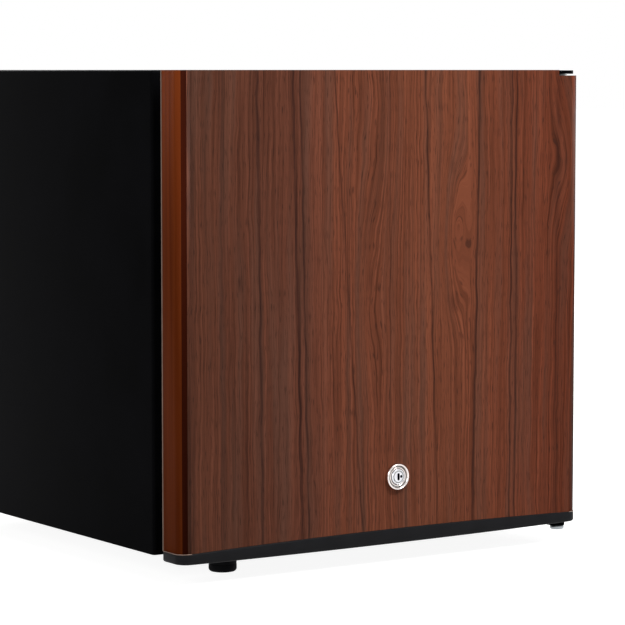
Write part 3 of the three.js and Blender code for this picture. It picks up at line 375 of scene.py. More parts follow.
for top, low, width, depth in woodSet["streaks"]:
    lean = (top - low) / woodSet["filmHeight"]
    middle = low - lean * woodSet["filmFoot"]
    off = addNode(tree, "Math", {"operation": "MULTIPLY_ADD", 1: -lean}, {0: axes.outputs["Z"], 2: drift})
    off = addNode(tree, "Math", {"operation": "ADD", 1: -middle * mm}, {0: off.outputs[0]})
    off = addNode(tree, "Math", {"operation": "ABSOLUTE"}, {0: off.outputs[0]})
    settings = {"interpolation_type": "SMOOTHSTEP", 2: width * mm, 3: depth, 4: 0}
    darkMasks.append(addNode(tree, "MapRange", settings, {0: off.outputs[0]}).outputs[0])
darkMasks += [spot(tree, place, *fleck) for fleck in woodSet["flecks"]]
dark = darkest(tree, darkMasks)
broken = addNode(tree, "MapRange", {1: 0.35, 2: 0.6, 3: 0.5, 4: 1.0},
                 {0: speckle(tree, grain, 2.5, 3, 0.6, (1, 1, 40))})
streaky = addNode(tree, "Math", {"operation": "MULTIPLY"}, {0: dark, 1: broken.outputs[0]})
streaked = addNode(tree, "Mix", {"data_type": "RGBA", 7: linear(woodSet["streak"])},
                   {0: streaky.outputs[0], 6: shaded.outputs[2]})
poreLine = addNode(tree, "MapRange", {1: 0.58, 2: 0.74, 3: 0.0, 4: 0.42}, {0: pores})
pored = addNode(tree, "Mix", {"data_type": "RGBA", 7: linear(woodSet["pore"])},
                {0: poreLine.outputs[0], 6: streaked.outputs[2]})
tree.links.new(pored.outputs[2], shader.inputs["Base Color"])
sheen = addNode(tree, "MapRange", {1: 0.3, 2: 0.7, 3: 0.36, 4: 0.48}, {0: fibre})
tree.links.new(sheen.outputs[0], shader.inputs["Roughness"])
relief = addNode(tree, "Bump", {"Strength": 0.12, "Distance": 0.06 * mm}, {"Height": pores})
tree.links.new(relief.outputs[0], shader.inputs["Normal"])
shader.inputs["Specular IOR Level"].default_value = 0.03
finishes[made.name] = made
print("finishes made:", len(finishes))

# Mesh tools


def lerp(a, b, t):
    return a + (b - a) * t


def newPiece(name, bm, finish, body, replaces=(), bevel=0.0, segments=2, sharp=35, more=()):
    bmesh.ops.recalc_face_normals(bm, faces=bm.faces)
    mesh = bpy.data.meshes.new(name)
    bm.to_mesh(mesh)
    bm.free()
    for key in (finish, *more):
        mesh.materials.append(finishes[key])
    mesh.shade_smooth()
    mesh.set_sharp_from_angle(angle=math.radians(sharp))
    piece = bpy.data.objects.new(name, mesh)
    scene.collection.objects.link(piece)
    if bevel:
        eased = piece.modifiers.new("edges", "BEVEL")
        eased.width = bevel * mm
        eased.segments = segments
        eased.limit_method = "ANGLE"
        eased.angle_limit = math.radians(sharp)
        eased.harden_normals = True
        eased.use_clamp_overlap = True
    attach(piece, body)
    if replaces:
        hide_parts(*replaces)
    return piece


def addLoop(bm, points):
    return [bm.verts.new(Vector(p) * mm) for p in points]


def bridge(bm, low, high, closed=True):
    count = len(low)
    for i in range(count if closed else count - 1):
        j = (i + 1) % count
        bm.faces.new((low[i], low[j], high[j], high[i]))


def skinLoops(bm, loops, closed=True, ends=True):
    rings = [addLoop(bm, loop) for loop in loops]
    for low, high in zip(rings, rings[1:]):
        bridge(bm, low, high, closed)
    if ends:
        bm.faces.new(rings[0])
        bm.faces.new(rings[-1])
    return rings


def fillFlat(bm, loops):
    edges = []
    for loop in loops:
        for i, vert in enumerate(loop):
            after = loop[(i + 1) % len(loop)]
            edge = bm.edges.get((vert, after)) or bm.edges.new((vert, after))
            edges.append(edge)
    return bmesh.ops.triangle_fill(bm, use_beauty=True, edges=edges)["geom"]


def circle(x, y, radius, steps):
    angles = [2 * math.pi * i / steps for i in range(steps)]
    return [(x + radius * math.cos(a), y + radius * math.sin(a)) for a in angles]


def turnedMesh(bm, profile, centre, axis="z", steps=40):
    place = {"z": lambda a, b, h: (centre[0] + a, centre[1] + b, centre[2] + h),
             "y": lambda a, b, h: (centre[0] + a, centre[1] + h, centre[2] + b),
             "x": lambda a, b, h: (centre[0] + h, centre[1] + a, centre[2] + b)}[axis]
    rings = []
    for radius, height in profile:
        if radius == 0:
            rings.append([bm.verts.new(Vector(place(0, 0, height)) * mm)])
        else:
            rings.append(addLoop(bm, [place(a, b, height) for a, b in circle(0, 0, radius, steps)]))
    for low, high in zip(rings, rings[1:]):
        if len(low) == 1 or len(high) == 1:
            tip, ring = (low[0], high) if len(low) == 1 else (high[0], low)
            for i in range(len(ring)):
                bm.faces.new((tip, ring[i], ring[(i + 1) % len(ring)]))
        else:
            bridge(bm, low, high)
    return bm


def roundPath(corners, bend, steps=8):
    points = [Vector(corners[0])]
    for before, here, after in zip(corners, corners[1:], corners[2:]):
        a, b, c = Vector(before), Vector(here), Vector(after)
        ease = min(bend, (a - b).length / 2.1, (c - b).length / 2.1)
        start, end = b + (a - b).normalized() * ease, b + (c - b).normalized() * ease
        for i in range(steps + 1):
            t = i / steps
            points.append(start * (1 - t) ** 2 + b * 2 * t * (1 - t) + end * t ** 2)
    points.append(Vector(corners[-1]))
    return points


def tubeMesh(bm, points, radius, sides=16):
    rings = []
    side = None
    for i, point in enumerate(points):
        ahead = (points[min(i + 1, len(points) - 1)] - points[max(i - 1, 0)]).normalized()
        if side is None:
            side = ahead.orthogonal().normalized()
        side = (side - ahead * side.dot(ahead)).normalized()
        up = ahead.cross(side)
        rings.append([point + side * a + up * b for a, b in circle(0, 0, radius, sides)])
    skinLoops(bm, rings)
    return bm


def addBlock(bm, low, high):
    made = bmesh.ops.create_cube(bm, size=1.0)["verts"]
    for vert in made:
        vert.co = Vector([lerp(low[i], high[i], vert.co[i] + 0.5) for i in range(3)]) * mm
    return made


def dressed(node, finish, body, bevel):
    bm = bmesh.new()
    bm.from_mesh(nodes[node].data)
    bmesh.ops.remove_doubles(bm, verts=bm.verts, dist=0.01 * mm)
    bmesh.ops.dissolve_limit(bm, angle_limit=math.radians(1), verts=bm.verts, edges=bm.edges)
    newPiece(node + "_finished", bm, finish, body, (node,), bevel)


def span(node):
    low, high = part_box(node)
    return low / mm, high / mm


# Door

doorSet = {
    "proud": 0.5,  # mm, bottom cap past the wood
    "corner": 10.0,
    "backCorner": 1.5,
    "skin": 1.5,
    "lip": 6.0,  # return of the skin behind the door
    "capHeight": 8.2,
    "capRise": 2.7,  # the cap's upper edge and its foot both bow, most at mid width
    "capCrown": 1.4,
    # bottom cap's section, inset and height: four rings from its foot, four from its upper edge
    "capSection": [(2.4, 0.0), (1.1, 0.2), (0.35, 0.8), (0.0, 1.7), (0.0, -1.1), (0.2, -0.35), (0.55, 0.0),
                   (2.6, 0.0)],
    "capFootRings": 4,
    "pinBore": 7.3,
    "pinBoreSides": 28,
    "notchGap": 1.0,  # the film is cut clear of the upper hinge
    "notchDrop": 4.7,
    "beadInset": 0.25,  # bead with the painted highlight of the film's edge at the lower corners
    "beadLift": 0.2,
    "bead": 0.34,
    "rearEdge": 0.7,  # and down the door's back edges
    "rearEdgeInset": 0.9,
    "rearEdgeSink": 0.1,
    "gap": 0.3,
    "cornerSteps": 10,
    "backSteps": 4,
    "frontSteps": 48,
    "shadeBandFrom": 5,  # corner steps where the painted shade on the bend starts, and where the figure starts
    "shadeBandTo": 8,
    "lockHole": 8.5,
}
skinLow, skinHigh = span("door_skin")
capLow, capHigh = span("door_bottom_cap")
notchLow = span("upper_hinge_bracket")[0]
lockLow, lockHigh = span("lock_housing")
lockX, lockZ = (lockLow.x + lockHigh.x) / 2, (lockLow.z + lockHigh.z) / 2
hingeLow, hingeHigh = span("lower_hinge_pin")
hingeX, hingeY = (hingeLow.x + hingeHigh.x) / 2, (hingeLow.y + hingeHigh.y) / 2
halfWidth, doorBack = capHigh.x, skinHigh.y
capBottom = capLow.z + doorSet["capCrown"]
capTop = capBottom + doorSet["capHeight"]
notchX, notchZ = notchLow.x - doorSet["notchGap"], skinHigh.z - doorSet["notchDrop"]


def arch(x, ends, rise):
    return ends + rise * (1 - min(1, abs(x) / halfWidth) ** 2)


def doorPlan(inset, backInset=0.0):
    radius, small = doorSet["corner"] - inset, doorSet["backCorner"]
    x, front, back = halfWidth - inset, capLow.y + inset, doorBack - backInset
    points = []
    for i in range(doorSet["backSteps"] + 1):
        angle = math.pi / 2 * i / doorSet["backSteps"]
        points.append((-x + small - small * math.sin(angle), back - small + small * math.cos(angle)))
    for i in range(doorSet["cornerSteps"] + 1):
        angle = math.pi / 2 * i / doorSet["cornerSteps"]
        points.append((-x + radius - radius * math.cos(angle), front + radius - radius * math.sin(angle)))
    count = doorSet["frontSteps"] // 2
    edge = -x + radius
    points += [(lerp(edge, 0, i / count), front) for i in range(1, count)]
    return points + [(0, front)] + [(-a, b) for a, b in reversed(points)]


bm = bmesh.new()
plan = doorPlan(doorSet["proud"])
sideCount = doorSet["backSteps"] + doorSet["cornerSteps"] + 2
lipX = halfWidth - doorSet["lip"]
leftSide = [(-lipX, doorBack)] + plan[:sideCount]
rightSide = plan[-sideCount:] + [(lipX, doorBack)]
skinEnds = capTop + doorSet["gap"]
bottoms = {}
for group, top in ((leftSide, skinHigh.z), (rightSide, notchZ)):
    low = addLoop(bm, [(x, y, arch(x, skinEnds, doorSet["capRise"])) for x, y in group])
    high = addLoop(bm, [(x, y, top) for x, y in group])
    for i in range(len(group) - 1):
        face = bm.faces.new((low[i], low[i + 1], high[i + 1], high[i]))
        fromBack = i - 2 if group is leftSide else len(group) - 3 - i
        step = fromBack - doorSet["backSteps"]
        # side steps take the plain edging, the bend's middle steps the painted shade, the front the figure
        face.material_index = 1 if step < doorSet["shadeBandFrom"] else 2 if step < doorSet["shadeBandTo"] else 0
    bottoms[top] = (low, high)
leftLow, leftHigh = [loop[-1] for loop in bottoms[skinHigh.z]]
rightLow, rightHigh = [loop[0] for loop in bottoms[notchZ]]
frontY = skinLow.y
foot = [bm.verts.new(Vector((x, frontY, arch(x, skinEnds, doorSet["capRise"]))) * mm)
        for x, y in plan[sideCount:-sideCount]]
notch = addLoop(bm, [(notchX, frontY, notchZ), (notchX, frontY, skinHigh.z)])
outer = [leftLow] + foot + [rightLow, rightHigh] + notch + [leftHigh]
hole = addLoop(bm, [(x, frontY, z) for x, z in circle(lockX, lockZ, doorSet["lockHole"], 40)])
fillFlat(bm, [outer, hole])
# the film's second finish is the plain edging, its third the painted shade on the bend
skin = newPiece("door_film", bm, "rosewood_film", "door", ("door_skin",),
                more=("edging_film", "bend_painted_shade_film"))
if max(skin.data.polygons, key=lambda p: p.area).normal.y > 0:
    skin.data.flip_normals()
for flat in skin.data.polygons:
    flat.use_smooth = abs(flat.normal.y) < 0.9999
thick = skin.modifiers.new("sheet", "SOLIDIFY")
thick.thickness = doorSet["skin"] * mm
thick.offset = -1

bm = bmesh.new()
loops = []
for step, (inset, lift) in enumerate(doorSet["capSection"]):
    level, bow = capTop, doorSet["capRise"]
    if step < doorSet["capFootRings"]:
        level, bow = capBottom, -doorSet["capCrown"]
    loops.append([(x, y, lift + arch(x, level, bow)) for x, y in doorPlan(inset, inset)])
rings = skinLoops(bm, loops, ends=False)
pinBore = circle(hingeX, hingeY, doorSet["pinBore"], doorSet["pinBoreSides"])
bore = addLoop(bm, [(x, y, capBottom) for x, y in pinBore])
boreTop = addLoop(bm, [(x, y, arch(x, capTop, doorSet["capRise"])) for x, y in pinBore])
fillFlat(bm, [rings[0], bore])
fillFlat(bm, [rings[-1], boreTop])
bridge(bm, bore, boreTop)
newPiece("door_lower_cap", bm, "black_abs", "door", ("door_bottom_cap",))

# painted highlight: pale beads along the film's lower edge at the corners and down its back edges stand in
# for light caught on those edges
bm = bmesh.new()
lift = doorSet["beadLift"]
beadPlan = doorPlan(doorSet["beadInset"], lift)
seam = [Vector((x, y, arch(x, capTop, doorSet["capRise"]) + lift)) for x, y in beadPlan]
for corner in (seam[:sideCount], seam[-sideCount:]):
    tubeMesh(bm, corner, doorSet["bead"], 6)
newPiece("door_film_lower_highlight_bead", bm, "film_edge_painted_highlight", "door")
bm = bmesh.new()
for side, top in ((-1, skinHigh.z), (1, notchZ)):
    x, y = side * (halfWidth - doorSet["rearEdgeInset"]), doorBack - doorSet["rearEdgeSink"]
    tubeMesh(bm, [Vector((x, y, skinEnds)), Vector((x, y, top))], doorSet["rearEdge"], 8)
newPiece("door_film_rear_highlight_beads", bm, "film_edge_painted_highlight", "door")
print("door skin and cap made")

# Lock

lockSet = {
    # bezel section: radius and depth in mm, barrel bore, inner ring, groove, rounded rim, seat on the film
    "bezel": [(6.75, -164.5), (6.75, -198.2), (6.95, -198.7), (7.3, -198.9), (7.7, -198.8), (7.9, -198.4),
              (8.1, -197.3), (8.7, -197.3), (8.9, -198.6), (9.2, -199.4), (9.6, -199.85), (10.0, -200.0),
              (10.4, -199.8), (10.8, -199.2), (11.0, -198.3), (11.0, -196.7), (10.8, -196.45), (8.2, -196.45),
              (8.2, -164.5), (6.75, -164.5)],
    "groove": (7.85, 8.95),
    "barrel": [(6.4, -164.5), (6.4, -198.9), (5.9, -199.5), (5.2, -199.5), (5.0, -198.8), (4.5, -198.8),
               (4.3, -199.5)],
    "barrelGroove": (4.25, 5.25),
    "grooveDepth": 3,  # the painted shade reaches this far behind the face
    "face": -199.5,
    "keyway": (2.4, 6.2),
    "keyDepth": 11,
    "dot": (2.75, 0.1, 1.25),  # sight hole beside the keyway: x, z, radius
    "dotDepth": 4,
    "tail": 3.0,  # half width of the square tail that carries the cam
    "tailFrom": -165.0,
    "tailTo": -162.2,
}


# painted shade: faces inside the ring and behind the face take the darker second finish
def paintGrooveShade(bm, ring):
    deepest = lockSet["face"] + lockSet["grooveDepth"]
    for face in bm.faces:
        middle = face.calc_center_median() / mm
        radius = math.hypot(middle.x - lockX, middle.z - lockZ)
        if ring[0] < radius < ring[1] and middle.y < deepest:
            face.material_index = 1


bm = turnedMesh(bmesh.new(), lockSet["bezel"], (lockX, 0, lockZ), "y", 64)
bmesh.ops.remove_doubles(bm, verts=bm.verts, dist=0.001 * mm)
paintGrooveShade(bm, lockSet["groove"])
newPiece("lock_bezel", bm, "chrome_plate", "door", ("lock_housing",), sharp=50,
         more=("groove_painted_shade",))

bm = bmesh.new()
barrelRings = [addLoop(bm, [(x, y, z) for x, z in circle(lockX, lockZ, r, 56)]) for r, y in lockSet["barrel"]]
for low, high in zip(barrelRings, barrelRings[1:]):
    bridge(bm, low, high)
bm.faces.new(barrelRings[0])
paintGrooveShade(bm, lockSet["barrelGroove"])
wide, tall = lockSet["keyway"]
face = lockSet["face"]
slot = [(wide / 2 * math.cos(a), (tall - wide) / 2 * (1 if math.sin(a) > 0 else -1) + wide / 2 * math.sin(a))
        for a in [math.pi / 12 + k * math.pi / 6 for k in range(12)]]
mouth = addLoop(bm, [(lockX + x, face, lockZ + z) for x, z in slot])
depth = addLoop(bm, [(lockX + x, face + lockSet["keyDepth"], lockZ + z) for x, z in slot])
dotX, dotZ, dotRadius = lockSet["dot"]
sight = circle(lockX + dotX, lockZ + dotZ, dotRadius, 16)
pit = [addLoop(bm, [(x, y, z) for x, z in sight]) for y in (face, face + lockSet["dotDepth"])]
fillFlat(bm, [barrelRings[-1], mouth, pit[0]])
before = set(bm.faces)
bridge(bm, mouth, depth)
bm.faces.new(depth)
bridge(bm, *pit)
bm.faces.new(pit[1])
# painted shade: the walls and floors of the keyway and the sight hole take the near-black third finish
for inside in set(bm.faces) - before:
    inside.material_index = 2
tail = lockSet["tail"]
addBlock(bm, (lockX - tail, lockSet["tailFrom"], lockZ - tail),
         (lockX + tail, lockSet["tailTo"], lockZ + tail))
newPiece("lock_cylinder", bm, "satin_nickel", "lock", ("lock_plug",),
         more=("groove_painted_shade", "powder_coated_steel"))
print("lock made")

# Fixed pieces that keep the CAD shape: edges eased, real finish. Node, finish, body, slot, edge in mm
dressSet = [
    ("cabinet_shell", "powder_coated_steel", "cabinet", "black_paint", 0.0),
    ("base_plate", "powder_coated_steel", "cabinet", "black_paint", 0.25),
    ("lower_hinge_bracket", "powder_coated_steel", "cabinet", "black_paint", 0.4),
    ("upper_hinge_bracket", "powder_coated_steel", "cabinet", "black_paint", 0.4),
    ("back_panel", "galvanised_sheet", "cabinet", "zinc_steel", 0.2),
    ("front_frame", "black_abs", "cabinet", "black_plastic", 0.9),
    ("inner_liner", "white_polystyrene", "cabinet", "white_plastic", 1.0),
    ("control_box", "white_polystyrene", "cabinet", "white_plastic", 0.9),
    ("lamp_lens", "clear_polystyrene", "cabinet", "clear_plastic", 0.5),
    ("evaporator", "cast_aluminium", "cabinet", "aluminium", 0.3),
    ("lock_keeper", "zinc_plated_steel", "cabinet", "zinc_steel", 0.3),
    ("unit_strap_left", "galvanised_sheet", "cabinet", "zinc_steel", 0.6),
    ("unit_strap_right", "galvanised_sheet", "cabinet", "zinc_steel", 0.6),
    ("plug_plate", "galvanised_sheet", "cabinet", "zinc_steel", 0.5),
    ("boiler_case", "galvanised_sheet", "cabinet", "zinc_steel", 1.2),
    ("terminal_box", "black_abs", "cabinet", "black_plastic", 1.2),
    ("power_inlet", "black_abs", "cabinet", "black_plastic", 0.5),
    ("door_top_cap", "black_abs", "door", "black_plastic", 0.4),
    ("door_liner", "white_polystyrene", "door", "white_plastic", 1.6),
    ("lower_rack", "clear_polystyrene", "door", "clear_plastic", 0.6),
    ("upper_rack", "clear_polystyrene", "door", "clear_plastic", 0.6),
    ("lock_nut", "zinc_plated_steel", "door", "zinc_steel", 0.4),
    ("lock_cam", "zinc_plated_steel", "lock", "zinc_steel", 0.3),
]
for node, finish, body, slot, edge in dressSet:
    dressed(node, finish, body, edge)
hiddenSet = {"insulation": "polyurethane_foam", "door_foam": "polyurethane_foam",
             "lower_hinge_bush": "natural_acetal", "upper_hinge_bush": "natural_acetal"}
for node, finish in hiddenSet.items():
    nodes[node].material_slots[0].material = finishes[finish]
print("CAD shapes dressed")

# Feet, pins and screws

footSet = {
    "names": ["foot_front_left", "foot_front_right", "foot_rear_left", "foot_rear_right"],
    # moulded foot: screw well, floor ring, rounded lower edge, slim waist line, flared top
    "profile": [(2.3, 8.0), (4.3, 7.9), (4.5, 7.6), (4.5, 0.4), (4.9, 0.0), (8.7, 0.0), (9.9, 0.25),
                (10.8, 0.9), (11.35, 1.8), (11.5, 2.8), (11.45, 6.0), (11.2, 6.3), (11.2, 6.7), (11.4, 7.0),
                (11.1, 20.3), (10.6, 21.2), (2.3, 21.2), (2.3, 8.0)],
}
for name in footSet["names"]:
    low, high = span(name)
    centre = ((low.x + high.x) / 2, (low.y + high.y) / 2, 0)
    bm = turnedMesh(bmesh.new(), footSet["profile"], centre, "z", 48)
    bmesh.ops.remove_doubles(bm, verts=bm.verts, dist=0.001 * mm)
    newPiece(name + "_moulded", bm, "black_rubber", "cabinet", (name,))

pinSet = {  # radius and height in mm: the lower pin's head, the upper pin's collar
    "lower_hinge_pin": [(0, 10.9), (4.9, 10.9), (5.6, 11.2), (6.0, 11.9), (6.0, 13.3), (5.7, 13.9), (4, 13.9),
                        (4, 30.3), (2.9, 31.5), (0, 31.5)],
    "upper_hinge_pin": [(0, 387.3), (3, 387.3), (4, 388.4), (4, 400.6), (5.4, 400.6), (5.6, 400.8),
                        (5.6, 401.2), (5.4, 401.4), (4, 401.4), (4, 404.2), (3.5, 404.7), (0, 404.7)],
}
for name, profile in pinSet.items():
    newPiece(name + "_turned", turnedMesh(bmesh.new(), profile, (hingeX, hingeY, 0), "z", 40),
             "zinc_plated_steel", "cabinet", (name,), sharp=40)

screwSet = {
    # radius and height from the head's seat
    "head": [(0.0, -2.3), (1.4, -2.25), (2.8, -1.9), (3.8, -1.2), (4.2, -0.4), (4.2, 0.0), (2.0, 0.0),
             (2.0, 6.5), (0, 7.5)],
    "headRadius": 2.1,  # points wider than the shank belong to the head
    "camHead": [(0, 2.0), (1.2, 2.0), (2.6, 1.6), (3.6, 0.6), (3.6, 0.0), (1.5, 0.0), (1.5, -2.3), (0, -2.3)],
}
screws = [  # name, body, axis, direction the head faces
    ("upper_hinge_screw_1", "cabinet", "y", -1), ("upper_hinge_screw_2", "cabinet", "y", -1),
    ("lower_hinge_screw_1", "cabinet", "z", -1), ("lower_hinge_screw_2", "cabinet", "z", -1),
    ("foot_front_left_screw", "cabinet", "z", -1), ("foot_front_right_screw", "cabinet", "z", -1),
    ("foot_rear_left_screw", "cabinet", "z", -1), ("foot_rear_right_screw", "cabinet", "z", -1),
    ("keeper_screw", "cabinet", "z", 1), ("cam_screw", "lock", "y", 1),
]
for name, body, axis, facing in screws:
    low, high = span(name)
    index = "xyz".index(axis)
    middle = [(a + b) / 2 for a, b in zip(low, high)]
    profile = screwSet["camHead"] if name == "cam_screw" else screwSet["head"]
    reach = max(abs(h) for r, h in profile if r > screwSet["headRadius"])
    seat = (high[index] if facing > 0 else low[index]) - facing * reach
    middle[index] = 0
    sign = 1 if facing < 0 or name == "cam_screw" else -1
    bm = turnedMesh(bmesh.new(), [(r, seat + sign * h) for r, h in profile], middle, axis, 28)
    newPiece(name + "_turned", bm, "zinc_plated_steel", body, (name,), sharp=40)
print("feet, pins and screws made")

# Inside the room and on the door

gasketSet = {
    # magnetic seal: foot on the door, bellows fold, flat magnet pocket against the cabinet;
    # mm out from its inner edge, mm off the door
    "section": [(0.0, 0.0), (15.0, 0.0), (15.0, 2.4), (13.2, 3.2), (12.2, 4.6), (13.2, 6.2), (14.6, 7.2),
                (15.0, 8.4), (15.0, 12.2), (14.3, 12.9), (0.7, 12.9), (0.0, 12.2), (0.0, 8.4), (0.6, 7.2),
                (1.9, 6.2), (2.8, 4.6), (1.9, 3.2), (0.0, 2.4)],
    "width": 15.0,
    "corner": 8.0,
    "steps": 6,
}
low, high = span("door_gasket")
bm = bmesh.new()
loops = []
for out, off in gasketSet["section"]:
    grow, ring = out - gasketSet["width"], []
    for k, (sx, sz) in enumerate(((1, 1), (-1, 1), (-1, -1), (1, -1))):
        radius = gasketSet["corner"] + out / 3
        cx = (high.x + grow - radius) * sx
        cz = (high.z + low.z) / 2 + ((high.z - low.z) / 2 + grow - radius) * sz
        for i in range(gasketSet["steps"] + 1):
            angle = math.pi / 2 * (k + i / gasketSet["steps"])
            ring.append((cx + radius * math.cos(angle), low.y + off, cz + radius * math.sin(angle)))
    loops.append(ring)
rings = skinLoops(bm, loops, ends=False)
bridge(bm, rings[-1], rings[0])
newPiece("door_seal", bm, "black_rubber", "door", ("door_gasket",), sharp=50)

railSet = {"radius": 2.5, "ease": 0.5}
bar, ease = railSet["radius"], railSet["ease"]
for name in ("lower_rack_rail", "upper_rack_rail"):
    low, high = span(name)
    bm = bmesh.new()
    profile = [(0, low.x), (bar - ease, low.x), (bar, low.x + ease), (bar, high.x - ease),
               (bar - ease, high.x), (0, high.x)]
    turnedMesh(bm, profile, (0, (low.y + high.y) / 2, (low.z + high.z) / 2), "x", 24)
    newPiece(name + "_plated", bm, "chrome_plate", "door", (name,))

shelfSet = {"rod": 2.5, "wire": 1.6, "pitch": 22.0, "bend": 9.0, "wireLift": 0.4}
low, high = span("shelf")
bm = bmesh.new()
level, rod = (low.z + high.z) / 2, shelfSet["rod"]
rim = [(low.x + rod, low.y + rod), (high.x - rod, low.y + rod), (high.x - rod, high.y - rod),
       (low.x + rod, high.y - rod)]
loop = roundPath([((low.x + high.x) / 2, low.y + rod, level)] + [(x, y, level) for x, y in rim[1:] + rim[:1]]
                 + [((low.x + high.x) / 2 - 0.01, low.y + rod, level)], shelfSet["bend"], 6)
tubeMesh(bm, loop, rod, 14)
count = int((high.x - low.x - 2 * rod) // shelfSet["pitch"])
for i in range(1, count):
    x = lerp(low.x + rod, high.x - rod, i / count)
    wire = [Vector((x, y, level + shelfSet["wireLift"])) for y in (low.y + rod, high.y - rod)]
    tubeMesh(bm, wire, shelfSet["wire"], 10)
newPiece("wire_shelf", bm, "white_coated_wire", "cabinet", ("shelf",), sharp=60)

knobSet = {
    "ridges": 28,
    "seat": 11.0,  # mm from the grip's front to the back of the dial
    "shaft": 3.0,
    # dial section: radius, mm from the seat, depth of the ridges
    "section": [(3.0, 0, 0), (10.0, 0, 0.3), (10.5, -0.5, 0.35), (10.5, -3.2, 0.35), (10.0, -4.2, 0.2),
                (9.2, -4.7, 0), (6.6, -4.7, 0)],
    "grip": (2.0, 8.5, -4.0),  # half width, half length, mm from the seat
}
low, high = span("thermostat_knob")
knobX, knobZ = (low.x + high.x) / 2, (low.z + high.z) / 2
seat = low.y + knobSet["seat"]
steps = knobSet["ridges"] * 4  # every fourth point is drawn in
bm = bmesh.new()
rings = []
section = [(knobSet["shaft"], high.y, 0)] + [(r, seat + back, ridge) for r, back, ridge in knobSet["section"]]
for radius, y, ridge in section:
    ring = []
    for k in range(steps):
        angle, out = 2 * math.pi * k / steps, radius - ridge * (k % 4 == 0)
        ring.append((knobX + out * math.cos(angle), y, knobZ + out * math.sin(angle)))
    rings.append(ring)
skinLoops(bm, rings)
halfWide, halfLong, back = knobSet["grip"]
addBlock(bm, (knobX - halfWide, low.y, knobZ - halfLong), (knobX + halfWide, seat + back, knobZ + halfLong))
newPiece("thermostat_dial", bm, "white_polystyrene", "knob", ("thermostat_knob",),
         bevel=0.25, sharp=40)
print("room pieces made")

# Cooling unit

unitSet = {
    "coil": 8.0,  # tube radii and the radius of their bends
    "vapour": 7.0,
    "solution": 6.0,
    "bend": 17.0,
    "coilPath": [(0, 125.6, 281.3), (0, 140.6, 281.3), (142, 140.6, 281.3), (142, 140.6, 245.3),
                 (-98, 140.6, 245.3), (-98, 140.6, 209.3), (142, 140.6, 209.3), (142, 140.6, 173.3),
                 (60, 140.6, 173.3), (60, 140.6, 130.7), (60, 157.6, 130.7), (60, 157.6, 85.0)],
    "vapourPath": [(-161.8, 155.6, 285.3), (-161.8, 155.6, 357.0), (-97.3, 155.6, 357.0)],
    "solutionPath": [(-133.5, 157.6, 59.7), (-98.3, 157.6, 59.7)],
    "dome": 9,  # the tank's pressed ends, and the weld groove behind each: mm along, mm deep
    "domeStep": 0.6,
    "weldGroove": [(7, 0), (7.2, 0), (8, 0.5), (9, 0)],
    "header": 8,  # the condenser's tube
    "fins": 16,
    "finPitch": 14.0,
    "finMiddle": 34.0,
    "finHalf": 0.5,
    "collar": [(8.0, -2.4), (9.2, -2.2), (9.2, 2.2), (8.0, 2.4)],
}
for name, path, radius in (("absorber_coil", "coilPath", "coil"), ("vapour_pipe", "vapourPath", "vapour"),
                           ("solution_pipe", "solutionPath", "solution")):
    bm = tubeMesh(bmesh.new(), roundPath(unitSet[path], unitSet["bend"], 10), unitSet[radius], 20)
    newPiece(name + "_bent", bm, "unit_black_paint", "cabinet", (name,), sharp=50)

low, high = span("absorber_vessel")
radius, middle = (high.z - low.z) / 2, ((low.y + high.y) / 2, (low.z + high.z) / 2)
dome, domeStep = unitSet["dome"], unitSet["domeStep"]
profile = [(0, low.x)]
for i in range(1, 8):
    angle = math.pi / 2 * i / 8
    profile.append((radius * math.sin(angle), low.x + dome - dome * math.cos(angle)))
profile += [(radius - domeStep, low.x + dome), (radius, low.x + dome + domeStep)]
profile += [(radius - depth, low.x + dome + along) for along, depth in unitSet["weldGroove"]]
profile += [(r, low.x + high.x - h) for r, h in reversed(profile)]
newPiece("absorber_tank", turnedMesh(bmesh.new(), profile, (0, middle[0], middle[1]), "x", 56),
         "unit_black_paint", "cabinet", ("absorber_vessel",), sharp=45)

low, high = span("condenser")
bm = bmesh.new()
y, z = (low.y + high.y) / 2, (low.z + high.z) / 2
tube = unitSet["header"]
profile = [(0, low.x), (tube - 1, low.x), (tube, low.x + 1), (tube, high.x - 1), (tube - 1, high.x),
           (0, high.x)]
turnedMesh(bm, profile, (0, y, z), "x", 28)
for i in range(unitSet["fins"]):
    x = unitSet["finMiddle"] + (i - (unitSet["fins"] - 1) / 2) * unitSet["finPitch"]
    addBlock(bm, (x - unitSet["finHalf"], low.y, low.z), (x + unitSet["finHalf"], high.y, high.z))
    turnedMesh(bm, [(radius, x + along) for radius, along in unitSet["collar"]], (0, y, z), "x", 24)
newPiece("finned_condenser", bm, "unit_black_paint", "cabinet", ("condenser",),
         bevel=0.15, segments=1)
print("cooling unit made")

# Small fittings on the unit and round the dial

fittingSet = {
    "blade": (2.0, 4.0, 12.0),  # inlet contacts: width, height, length
    "bladePlaces": [(-7.0, -2.0), (7.0, -2.0), (0.0, 2.5)],
    "recessFloor": 2.3,
    "strapScrews": (45.0, 375.0),  # heights up each strap
    "caseScrews": (18, 26),  # from the boiler case's foot and from its top
    "bolt": [(0, 2.6), (1.2, 2.55), (2.5, 2.1), (3.4, 1.2), (3.7, 0.3), (3.7, -0.02), (0, -0.02)],
    "clipRadius": 9.0,
    "clipGauge": 0.9,
    "clipWidth": 9.0,
    "clipEar": 5.0,
    "clipHeights": (173.3, 209.3, 245.3, 281.3),  # the coil's level runs
    "lid": 1.0,
    "lidLip": 9.0,
    "lidCorner": 7.0,
    "lidHole": 7.5,
    "lidGap": 0.2,
    "stub": [(0, 0.0), (3, 0.0), (3, 9.0), (3.6, 9.4), (3.6, 10.4), (2.0, 11.0), (1.3, 15.0), (0, 15.2)],
    "stubSink": 0.4,
    "tickCount": 6,
    "tickTurn": 270.0,
    "tick": (11.9, 14.2, 0.8, 0.25),  # inner and outer radius, width, how far proud
}
